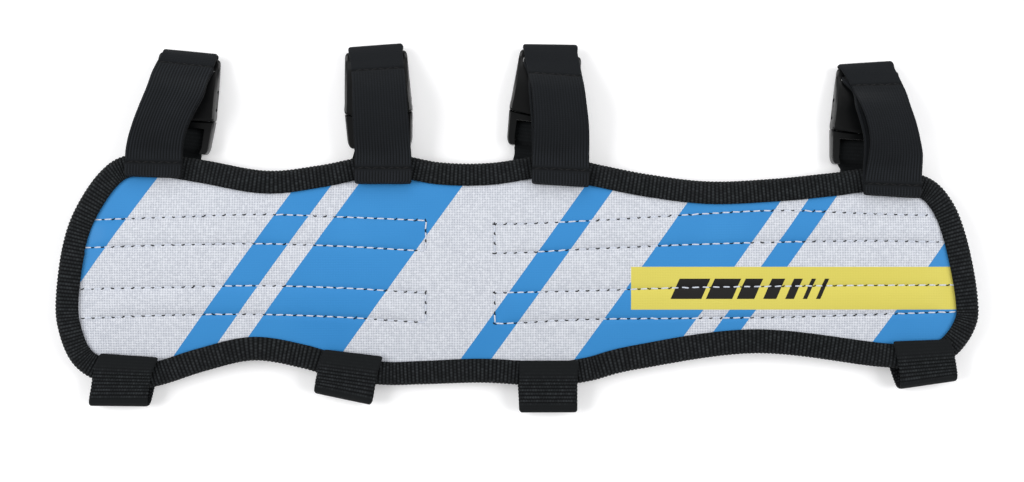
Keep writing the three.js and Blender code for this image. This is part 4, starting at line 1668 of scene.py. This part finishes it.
    def skin(self, path: BandPath, seams: tuple[float, float], fold: float) -> Skin:
        """The ribbed band: a thin section with round sides, grooved between its lengthwise ribs.

        Args:
            path: its smooth way.
            seams: running lengths of the hem seam and the fold seam.
            fold: running length of the fold.

        Returns:
            The closed band.
        """
        side = np.linspace(-1, 1, self.ribs * 4 + 1)
        half = half_thickness(side, self.thickness, self.slot_width)
        groove = self.rib_depth * (1 - ridges((side + 1) / 2 * self.ribs, 1.0)) * (np.abs(side) < 0.99)
        relief = self.relief(path.places, seams, fold)
        ribbed = np.clip(relief, 0, 1)[:, None]
        line = self.seam_line(path.places, seams)
        share = np.clip((path.places - seams[1]) / (fold - seams[1]), 0, 1)
        bulge = self.puff * np.sin(np.pi * share) - self.seam_depth * line
        top = half - groove * ribbed + bulge[:, None] * (np.abs(side) < 0.99)
        under = half - groove * ribbed
        height = np.concatenate([top, -under[:, ::-1]], axis=1)
        across = np.concatenate([side, side[::-1]])
        points = path.points(np.broadcast_to(across, height.shape), height)
        wide = (across + 1) / 2 * self.ribs * self.rib
        wide = np.append(wide, wide[0])
        places = np.stack(np.broadcast_arrays(wide[None], path.places[:, None]), -1)
        return Skin(points[None], places[None], relief=relief)

    def build(self, bench: Bench, finish: Material) -> list[Array]:
        """Make the band's piece.

        Args:
            bench: where the piece is put together.
            finish: its material.

        Returns:
            Paths of the seam threads that are sewn through it.
        """
        path = self.path().smoothed(self.step)
        along = BucklePlace.of(self.plan).along(path.centre)
        top = int(np.argmax(along))
        fold = float(path.places[top])
        hem_seam, fold_seam = (value * MM for value in self.plan.seams)
        below = along[:top] < along[top] + self.thickness / 2 - fold_seam
        seams = (hem_seam, float(path.places[:top][below][-1]))
        ends = np.minimum(path.places, path.places[-1] - path.places)
        wider = self.flare[0] * np.exp(-(ends / self.flare[1]) ** 2)
        flared = cornered(path.width + wider, ends, self.corners[0])
        path.width = cornered(flared, along[top] - along, self.corners[1])
        name = f"elastic_band_{self.number}"
        made = bench.make(name, self.skin(path, seams, fold), [finish],
                          f"elastic_strap_{self.number}")
        half = self.thickness / 2 - self.seam_depth
        return [cross_stitches(path, at, half, lift=0.16 * MM, slant=0.7 * MM) for at in seams]


@dataclass
class WebTape:
    """A ribbed tape: sewn end, fold round the bottom edge, run on the floor, loop on the pronged half's bar.

    Attributes:
        number: the strap's number.
        plan: where it goes.
        form: the panel that it is sewn on.
        thickness: its thickness.
        rib: pitch of its ribs.
        rib_depth: depth of the grooves between the ribs.
        samples: grid rows for each rib.
        loop: places from the mouth and heights of its stations on the buckle's axis, in millimetres.
        tips: where it passes the tips of the pronged half's rails, in millimetres from the mouth.
        throat: its width between those tips, in millimetres.
        enters: where it comes into the pronged half's window, in millimetres from the mouth.
        window: its width in that window, in millimetres.
        sewn: length of the smooth sewn end.
        smooth: length of the smooth stretch before the fold.
        shaded_end: length of the far end, under the buckle, whose ribs hardly show and whose colour is
            painted darker as shade.
        corner: radius of the fold's corners.
        seams: distances of its seams from the hem, in millimetres.
    """

    number: int
    plan: StrapPlan
    form: PanelForm
    thickness: float = 1 * MM
    rib: float = WEB_RIB
    rib_depth: float = 0.28 * MM
    samples: int = 6
    loop: tuple[tuple[float, float], ...] = (
        (-26, 0.5), (-20, 0.5), (-14, 0.5), (-12.3, 0.5), (-9, 0.5), (-5.6, 0.5), (-4, 1), (-3.55, 2.1),
        (-4, 3.2), (-5.6, 3.7), (-8, 3.7), (-10.2, 3.65), (-11.2, 3.2), (-12.1, 2.35), (-13, 1.9),
        (-15, 1.8), (-24, 1.8),
    )
    tips: float = -12.5
    throat: float = 16.6
    enters: float = -9.5
    window: float = 18.2
    sewn: float = 4.2 * MM
    smooth: float = 5.3 * MM
    shaded_end: float = 58 * MM
    corner: float = 0.8 * MM
    seams: tuple[float, float] = (2.6, 6.2)

    def path(self) -> BandPath:
        """The tape's way, station by station.

        Returns:
            The way, through its stations.
        """
        place = BucklePlace.of(self.plan)
        floor = self.thickness / 2
        wide = self.plan.tape * MM
        sewn = [sewn_station(self.form, row.x * MM, row.y * MM, row.turn, GAP + floor, wide)
                for row in self.plan.web]
        centre, across = [spot for spot, _ in sewn], [way for _, way in sewn]
        edge, middle = centre[-1].copy(), (centre[-1][2] + floor) / 2
        fold = self.plan.fold
        reach = fold.reach * MM
        aim = turned(fold.aim)
        narrow, narrows, aside = self.plan.tail
        stop = place.point(aside * MM, self.loop[0][0] * MM, floor)
        level = np.array([1.0, 1.0, 0.0])
        heading = unit((stop - edge - aim * reach) * level)
        slant = math.degrees(math.atan2(-heading[0], heading[1]))
        for angle in np.radians([65, 40, 15, -10, -35, -60, -90]):
            upper = aim * math.cos(angle) if angle > 0 else aim
            lower = heading * (1 - math.cos(angle)) if angle < 0 else 0.0
            spot = edge + reach * (upper + lower)
            spot[2] = middle + (edge[2] - middle) * math.sin(angle)
            centre.append(spot)
            across.append(turned(fold.turn + (slant - fold.turn) * max(-angle / (np.pi / 2), 0.0)))
        start = centre[-1]
        for share in (0.12, 0.5, 0.85):
            centre.append(start + share * (stop - start))
            across.append(turned(slant))
        width = [wide] * len(centre)
        for along, height in self.loop:
            below = min(max((self.tips - along) / 4, 0.0), 1.0)
            centre.append(place.point(below * aside * MM, along * MM, height * MM))
            across.append(turned(-self.plan.lean))
            if along < self.tips:
                width.append(wide if along < narrows else narrow * MM)
            else:
                width.append((self.throat if along < self.enters else self.window) * MM)
        return BandPath(np.array(centre), np.array(across), np.array(width))

    def skin(self, path: BandPath, fold: float) -> Skin:
        """The ribbed tape: a thin section with round sides, grooved across between its ribs.

        Args:
            path: its smooth way.
            fold: running length of the fold.

        Returns:
            The closed tape.
        """
        side = np.concatenate([[-1, -0.975, -0.93], np.linspace(-0.8, 0.8, 7), [0.93, 0.975, 1]])
        half = half_thickness(side, self.thickness, self.plan.tape * MM)
        crest = ridges(path.places, self.rib)
        hidden = smooth_at_fold(path.places, fold - self.smooth, 1.2 * MM, fold)
        # The far end, under the buckle, gets almost no relief: its ribs flatten and its colour falls to the
        # plain dark level, painted shade where the buckle shades it.
        far = eased((path.places - path.places[-1] + self.shaded_end) / (4 * MM))
        starts = 0.25 + 0.75 * eased((path.places - self.sewn - 1 * MM) / (3 * MM))
        starts = starts * eased((path.places - self.sewn) / (1 * MM))
        relief = 0.08 + 0.92 * starts * (1 - hidden) * (1 - 0.9 * far)
        high = half - (self.rib_depth * relief * (1 - crest))[:, None]
        height = np.concatenate([high, -high[:, ::-1]], axis=1)
        across = np.concatenate([side, side[::-1]])
        inset = 1 - 0.02 * (1 - crest) * relief
        points = path.points(across[None] * inset[:, None], height)
        points[..., 2] = np.maximum(points[..., 2], 0)
        wide = np.append(across, across[0]) * self.plan.tape * MM / 2
        places = np.stack(np.broadcast_arrays(wide[None], path.places[:, None]), -1)
        return Skin(points[None], places[None], relief=relief)

    def build(self, bench: Bench, finish: Material) -> list[Array]:
        """Make the tape's piece.

        Args:
            bench: where the piece is put together.
            finish: its material.

        Returns:
            Paths of the seam threads that hold its sewn end.
        """
        path = self.path().smoothed(self.rib / self.samples, self.thickness / 2)
        reach = path.centre @ turned(self.plan.fold.aim)
        top = int(np.argmax(reach))
        ended = cornered(path.width, path.places, self.corner)
        path.width = cornered(ended, reach[top] - reach, self.corner)
        name = f"web_tape_{self.number}"
        skin = self.skin(path, float(path.places[top]))
        made = bench.make(name, skin, [finish], f"web_strap_{self.number}")
        half = self.thickness / 2
        return [cross_stitches(path, at * MM, half, lift=0.14 * MM, slant=0.5 * MM) for at in self.seams]


# Buckles

class Cut(Enum):
    """How one closed shape changes another."""

    JOIN = "UNION"
    CUT = "DIFFERENCE"


def combined(base: Mesh, others: list[tuple[Cut, Mesh]]) -> Mesh:
    """A closed shape with other closed shapes joined to it or cut from it, in order.

    Args:
        base: the first shape.
        others: how each other shape changes it, and that shape.

    Returns:
        The new mesh, smooth but for its sharp edges.
    """
    scene = bpy.context.scene.collection.objects
    body = bpy.data.objects.new("combined", base)
    scene.link(body)
    tools = []
    for how, mesh in others:
        tool = bpy.data.objects.new("tool", mesh)
        scene.link(tool)
        tools.append(tool)
        change = body.modifiers.new("change", "BOOLEAN")
        change.operation, change.object, change.solver = how.value, tool, "EXACT"
    graph = bpy.context.evaluated_depsgraph_get()
    made = bpy.data.meshes.new_from_object(body.evaluated_get(graph))
    for used in (body, *tools):
        bpy.data.objects.remove(used)
    made.shade_smooth()
    made.set_sharp_from_angle(angle=SHARP_EDGE)
    return made


def rounded_bar(low: tuple, high: tuple, squareness: float) -> Skin:
    """A straight bar along the first axis, with a rounded rectangle as its section.

    Args:
        low: lowest corner of its box.
        high: highest corner of its box.
        squareness: power of the section's cosine and sine.

    Returns:
        The closed bar.
    """
    (x0, y0, z0), (x1, y1, z1) = low, high
    wide, tall = rounded(24, squareness)
    x = np.array([[x0], [x1]])
    y = (y0 + y1) / 2 + (y1 - y0) / 2 * wide[None]
    z = (z0 + z1) / 2 + (z1 - z0) / 2 * tall[None]
    return Skin(np.stack(np.broadcast_arrays(x, y, z), -1)[None])


@dataclass(frozen=True)
class BuckleSizes:
    """Sizes that both halves of a side release buckle share, along its axis from the mouth."""

    mouth_half: float = 12.1 * MM
    mouth_sag: float = 1 * MM
    sag_fade: float = 8 * MM
    middle: float = 3.8 * MM

    def sag(self, across: Array) -> Array:
        """How far the curved mouth bulges towards the pronged half at a place across."""
        return self.mouth_sag * (1 - (across / self.mouth_half) ** 2)


def bevelled(wide: Array, tall: Array, bevel: float, drop: float) -> tuple[Array, Array]:
    """Sections with flat faces and bevelled sides, one ring for each width and height.

    A quarter runs along the upper face, over a narrow round, down a flat and then a steep bevel
    and along the side wall. The ring is that quarter and its three mirror images.

    Args:
        wide: half width of each section.
        tall: half height of each section.
        bevel: width of the bevel.
        drop: share of the half height that the bevel takes.

    Returns:
        Places across and up, shaped sections, ring.
    """
    w, h = wide[:, None], tall[:, None]
    cut = np.minimum(bevel, 0.35 * w)
    fall = drop * h
    edge = 0.03 * np.minimum(w, h)
    x = np.hstack([0.25 * w, w - cut - 3 * edge, w - cut - edge, w - cut + edge, w - 0.28 * cut, w, w])
    knee = h - np.minimum(0.4 * cut, 0.5 * fall)
    z = np.hstack([h, h, h, h - 0.5 * edge, knee, h - fall, 0.4 * (h - fall)])
    across = np.hstack([x, x[:, ::-1], -x, -x[:, ::-1]])
    return across, np.hstack([z, -z[:, ::-1], -z, z[:, ::-1]])


@dataclass
class SocketHalf:
    """The socket of a buckle: a bevelled shell that narrows and thins to its bar.

    Attributes:
        sizes: sizes of the buckle.
        bevel: width of the bevels.
        drop: share of the half height that a bevel takes.
        wall: thickness of the side walls.
        cavity: depth and half height of the cavity.
        slot: first and last place along, and half width of the strap slot.
        window: first and last place along, and half height of the side windows.
    """

    sizes: BuckleSizes
    bevel: float = 0.9 * MM
    drop: float = 0.4
    wall: float = 1.5 * MM
    cavity: tuple[float, float] = (13.5 * MM, 2.4 * MM)
    slot: tuple[float, float, float] = (17.2 * MM, 19.8 * MM, 9.45 * MM)
    window: tuple[float, float, float] = (3.5 * MM, 11.2 * MM, 1.5 * MM)

    def outer(self) -> Array:
        """Along, half width and half height of the shell's sections, from the mouth to the bar.

        Returns:
            The three measures of each section.
        """
        table = np.array([
            (0, 11.75, 3.52), (0.15, 11.95, 3.68), (0.5, 12.06, 3.80), (4, 11.92, 3.78), (9, 11.69, 3.68),
            (13, 11.51, 3.02), (16.6, 11.35, 2.15), (19.2, 11.23, 1.02), (20.1, 11.19, 0.92),
            (20.9, 11.05, 1.06), (21.6, 10.75, 0.92), (22.1, 10.2, 0.42),
        ]) * MM
        places = chord_places(table)
        return smooth_through(places, table, np.linspace(0, places[-1], 46))

    def shell(self) -> Skin:
        """The shell: rings from the cavity's floor to the mouth, over the lip, and out to the bar.

        Returns:
            The closed shell.
        """
        outer = self.outer()
        deep, half = self.cavity
        inside = self.sizes.mouth_half - self.wall
        along = np.array([deep - 0.02 * MM, deep, 9 * MM, 4 * MM, 1 * MM, 0.2 * MM, 0])
        wide = np.array([inside * 0.96, inside, inside, inside, inside, inside + 0.1 * MM, inside + 0.4 * MM])
        tall = np.array([half * 0.96, half, half, half, half, half + 0.1 * MM, half + 0.4 * MM])
        rows = np.vstack([np.stack([along, wide, tall], 1), outer])
        rows[:, 2] = np.minimum(rows[:, 2], self.sizes.middle)
        x, up = bevelled(rows[:, 1], rows[:, 2], self.bevel, self.drop)
        fade = np.maximum(1 - rows[:, :1] / self.sizes.sag_fade, 0)
        y = rows[:, :1] - self.sizes.sag(x) * fade
        return Skin(np.stack([x, y, self.sizes.middle + up], -1)[None])

    def mesh(self) -> Mesh:
        """The shell with its strap slot and side windows cut through, in the buckle's frame.

        Returns:
            The mesh.
        """
        start, stop, reach = self.slot
        corner = 0.45 * MM
        across = np.array([reach - corner, reach, reach, reach - corner])
        across = np.concatenate([across, -across[::-1]])
        along = np.array([start, start + corner, stop - corner, stop])
        along = np.concatenate([along, along[::-1]])
        through = np.array([[-5], [12]]) * MM
        slot = Skin(np.stack(np.broadcast_arrays(across[None], along[None], through), -1)[None])
        first, last, tall = self.window
        middle = self.sizes.middle
        far = 15 * MM
        window = rounded_bar((-far, first, middle - tall), (far, last, middle + tall), 0.3)
        parts = [(Cut.CUT, slot.mesh("slot")), (Cut.CUT, window.mesh("window"))]
        return combined(self.shell().mesh("shell"), parts)


@dataclass
class ProngedHalf:
    """The pronged half: crossbar and rails, a bar for the tape, a guide and two spring prongs.

    Attributes:
        sizes: sizes of the buckle.
        length: length of the rails from the mouth.
        end_half: half the width at the rails' tips.
        rail_inner: half the width between the rails.
        crossbar: depth of the crossbar from the mouth.
        bottom: height of its underside.
        top: height of its upper face.
        bevel: width of the bevels.
        drop: share of the half height that a bevel takes.
        draft: how far the inner wall draws back at the floor.
        tip: length and depth of the rails' rounded tips.
        toe: how far the inner line turns in at the tips.
        joint: gap to the socket's mouth.
        bar: first and last place along, bottom and top of the tape's bar.
        finger_half: half the height of the prongs and the guide.
    """

    sizes: BuckleSizes
    length: float = 12.3 * MM
    end_half: float = 11.4 * MM
    rail_inner: float = 8.9 * MM
    crossbar: float = 3.3 * MM
    bottom: float = 0.3 * MM
    top: float = 6 * MM
    bevel: float = 0.7 * MM
    drop: float = 0.3
    draft: float = 0.7 * MM
    tip: tuple[float, float] = (2.3 * MM, 1.5 * MM)
    toe: float = 0.6 * MM
    joint: float = 0.14 * MM
    bar: tuple[float, float, float, float] = (-10.4 * MM, -5.5 * MM, 1.3 * MM, 2.9 * MM)
    finger_half: float = 1.4 * MM

    def frame(self) -> Skin:
        """Rails and crossbar: a rounded section carried from one rail's tip to the other's.

        The section spans from an inner to an outer line. Both run up a rail, along the mouth
        and down the other rail, and both lines turn in at the tips. The inner edge is sharp, and
        the wall below it draws back towards the floor.

        Returns:
            The closed frame.
        """
        sizes = self.sizes
        along = -self.length + (self.length - self.crossbar) * np.linspace(0, 1, 22) ** 1.6
        stretch = (-self.joint + self.length) / (self.length - self.crossbar)
        outer_y = -self.length + (along + self.length) * stretch
        share = (outer_y + self.length) / self.length
        outer_x = self.end_half + (sizes.mouth_half - self.end_half) * share
        tip = np.clip(1 - (along + self.length) / self.tip[0], 0, 1)
        outer_x = outer_x - self.tip[1] * (1 - np.sqrt(1 - tip ** 2))
        rail_in = np.stack([self.rail_inner - self.toe * tip, along], 1)
        rail_out = np.stack([outer_x, outer_y], 1)
        x = np.linspace(1, -1, 25)[1:-1]
        bar_in = np.stack([x * self.rail_inner, np.full_like(x, -self.crossbar)], 1)
        bar_out = np.stack([x * outer_x[-1], -self.joint - sizes.sag(x * outer_x[-1])], 1)
        mirror = np.array([-1, 1])
        inner = np.vstack([rail_in, bar_in, (rail_in * mirror)[::-1]])
        outer = np.vstack([rail_out, bar_out, (rail_out * mirror)[::-1]])
        half = np.linalg.norm(outer - inner, axis=1) / 2
        tall = (self.top - self.bottom) / 2
        across, up = bevelled(half, np.full_like(half, tall), self.bevel, self.drop)
        up = np.where((across < 0) & (np.abs(up) > 0.5 * tall), np.sign(up) * tall, up)
        drawn = 1 - self.draft * (1 - up / tall) / (2 * half[:, None])
        across = np.where(across < 0, across * drawn, across)
        share = 0.5 + 0.5 * across / half[:, None]
        plan = inner[:, None] + share[..., None] * (outer - inner)[:, None]
        height = (self.bottom + self.top) / 2 + up
        return Skin(np.concatenate([plan, height[..., None]], -1)[None])

    def finger(self, side: float, rows: Array) -> Skin:
        """A spring prong or the guide: a rounded section along the axis, from a table of rows.

        Args:
            side: one for the right, minus one for the left.
            rows: along, inner side and outer side of each section, in millimetres.

        Returns:
            The closed finger.
        """
        rows = rows * MM
        places = chord_places(rows)
        rows = smooth_through(places, rows, np.linspace(0, places[-1], 30))
        wide, tall = rounded(20, 0.4)
        x = side * ((rows[:, 1:2] + rows[:, 2:]) / 2 + (rows[:, 2:] - rows[:, 1:2]) / 2 * wide)
        y = np.broadcast_to(rows[:, :1], x.shape)
        z = np.broadcast_to(self.sizes.middle + self.finger_half * tall, x.shape)
        return Skin(np.stack([x, y, z], -1)[None])

    def mesh(self) -> Mesh:
        """All parts of the pronged half joined, in the buckle's frame.

        Returns:
            The mesh.
        """
        reach = self.rail_inner + 1 * MM
        first, last, low, high = self.bar
        bar = rounded_bar((-reach, first, low), (reach, last, high), 0.5)
        prong = np.array([
            (-2.3, 7.2, 10.3), (2, 7.3, 10.2), (3.6, 7.4, 10.3), (4.3, 7.4, 11.5), (7, 7.4, 11.8),
            (9.6, 7.4, 11.6), (10.6, 7.4, 11.2), (11.1, 7.4, 10.3), (12, 7.8, 9.2)])
        guide = np.array([(-2.3, -2.6, 2.6), (4, -2.5, 2.5), (11, -2.2, 2.2), (12.4, -1.5, 1.5)])
        parts = [bar, self.finger(1, prong), self.finger(-1, prong), self.finger(1, guide)]
        joined = [(Cut.JOIN, part.mesh("part")) for part in parts]
        return combined(self.frame().mesh("plate"), joined)


@dataclass
class BuckleSet:
    """The four fastened buckles, all from one socket and one pronged half."""

    sizes: BuckleSizes = field(default_factory=BuckleSizes)

    def build(self, bench: Bench, finish: Material) -> None:
        """Set a copy of both halves at each strap.

        Args:
            bench: where the pieces are put together.
            finish: their material.
        """
        halves = (
            ("buckle_socket", "buckle_female", SocketHalf(self.sizes).mesh()),
            ("buckle_prongs", "buckle_male", ProngedHalf(self.sizes).mesh()),
        )
        for number, plan in enumerate(STRAPS, 1):
            matrix = BucklePlace.of(plan).matrix(bench.shift)
            for name, node, mesh in halves:
                copy = mesh.copy()
                copy.transform(matrix)
                bench.piece(f"{name}_{number}", copy, [finish], f"{node}_{number}")


# The studio

@dataclass(frozen=True)
class Softbox:
    """One square studio lamp: its place, size and power. It faces the guard's middle."""

    name: str
    place: tuple[float, float, float]
    size: float
    power: float


@dataclass(frozen=True)
class Studio:
    """Pale floor, soft lamps on three sides and a camera straight above the guard.

    Attributes:
        eye: place of the camera in the drawing's frame.
        lens: focal length of the camera, in millimetres on a 36 mm sensor.
        floor_size: side of the floor.
        sky: strength of the even light from all round.
        lamps: the softboxes.
    """

    eye: tuple[float, float, float] = (-1.4 * MM, 10.35 * MM, 650 * MM)
    lens: float = 63.2
    floor_size: float = 6.0
    sky: float = 0.39
    lamps: tuple[Softbox, ...] = (
        Softbox("left_softbox", (-1.35, 0.2, 1.15), 1.15, 23.5),
        Softbox("right_softbox", (1.35, 0.1, 1.15), 1.15, 20.5),
        Softbox("rear_softbox", (0.0, 1.5, 0.95), 1.4, 7.0),
    )

    def build(self, shift: Array) -> None:
        """Set up the floor, the sky, the lamps and the camera.

        Args:
            shift: place of the drawing's origin in the row frame.
        """
        scene = bpy.context.scene
        half = self.floor_size / 2
        mesh = bpy.data.meshes.new("floor")
        mesh.from_pydata([(-half, -half, 0), (half, -half, 0), (half, half, 0), (-half, half, 0)], [],
                         [(0, 1, 2, 3)])
        pale = Shader("pale_floor", Base_Color=srgb(250, 250, 251), Roughness=0.9, Emission_Strength=0.14)
        mesh.materials.append(pale.material)
        floor = bpy.data.objects.new("floor", mesh)
        scene.collection.objects.link(floor)
        world = bpy.data.worlds.new("studio")
        world.use_nodes = True
        world.node_tree.nodes["Background"].inputs["Color"].default_value = (1.0, 1.0, 1.0, 1.0)
        world.node_tree.nodes["Background"].inputs["Strength"].default_value = self.sky
        scene.world = world
        for lamp in self.lamps:
            light = bpy.data.lights.new(lamp.name, "AREA")
            light.size, light.energy = lamp.size, lamp.power
            made = bpy.data.objects.new(lamp.name, light)
            made.location = lamp.place
            made.rotation_euler = (-made.location).to_track_quat("-Z", "Y").to_euler()
            scene.collection.objects.link(made)
        camera = bpy.data.objects.new("camera", bpy.data.cameras.new("camera"))
        camera.data.lens, camera.data.sensor_width = self.lens, 36.0
        camera.data.clip_start, camera.data.clip_end = 0.01, 20.0
        camera.location = np.array(self.eye) + shift
        scene.collection.objects.link(camera)
        scene.camera = camera
        scene.view_settings.view_transform = "Standard"


def drawing_shift() -> Array:
    """Place of the drawing's origin in the row frame, from the binding's box and outline.

    Returns:
        The place, on the floor.
    """
    low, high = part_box("edge_binding")
    outline = EdgeOutline(EDGE_SAMPLES).points
    middle = (outline.min(axis=0) + outline.max(axis=0)) / 2
    return np.array([(low.x + high.x) / 2 - middle[0], (low.y + high.y) / 2 - middle[1], 0.0])


def main() -> None:
    """Build the guard piece by piece."""
    logging.basicConfig(level=logging.INFO, format="%(name)s: %(message)s")
    bench = Bench(drawing_shift())
    Studio().build(bench.shift)
    LOG.info("drawing lies at %s mm", np.round(bench.shift / MM, 3))
    form = PanelForm()
    outline = EdgeOutline(EDGE_SAMPLES)
    cloth = PrintedCloth((float(bench.shift[0]), float(bench.shift[1]))).material()
    white = SewingThread("white_thread", srgb(172, 178, 190), srgb(214, 219, 230)).material()
    black = SewingThread("black_thread", srgb(10, 10, 11), srgb(22, 23, 25)).material()
    elastic = KnittedElastic().material()
    web = RibbedTape("web_tape", rib=WEB_RIB, yarn=0.95 * MM).material()
    plastic = MouldedPlastic().material()
    GuardPanel(form, outline).build(bench, [cloth, WovenLining().material()])
    ChannelStitching(form).build(bench, white, black)
    EdgeBinding(form).build(bench, RibbedTape("binding_tape").material())
    BuckleSet().build(bench, plastic)
    seams: list[Array] = []
    for number, plan in enumerate(STRAPS, 1):
        seams += ElasticBand(number, plan, form).build(bench, elastic)
        seams += WebTape(number, plan, form).build(bench, web)
    bench.make("strap_seams", thread_skin(np.vstack(seams), SEAM_THREAD, sides=6), [black])
    LOG.info("%d triangles in all", bench.triangles)


if __name__ == "__main__":
    main()
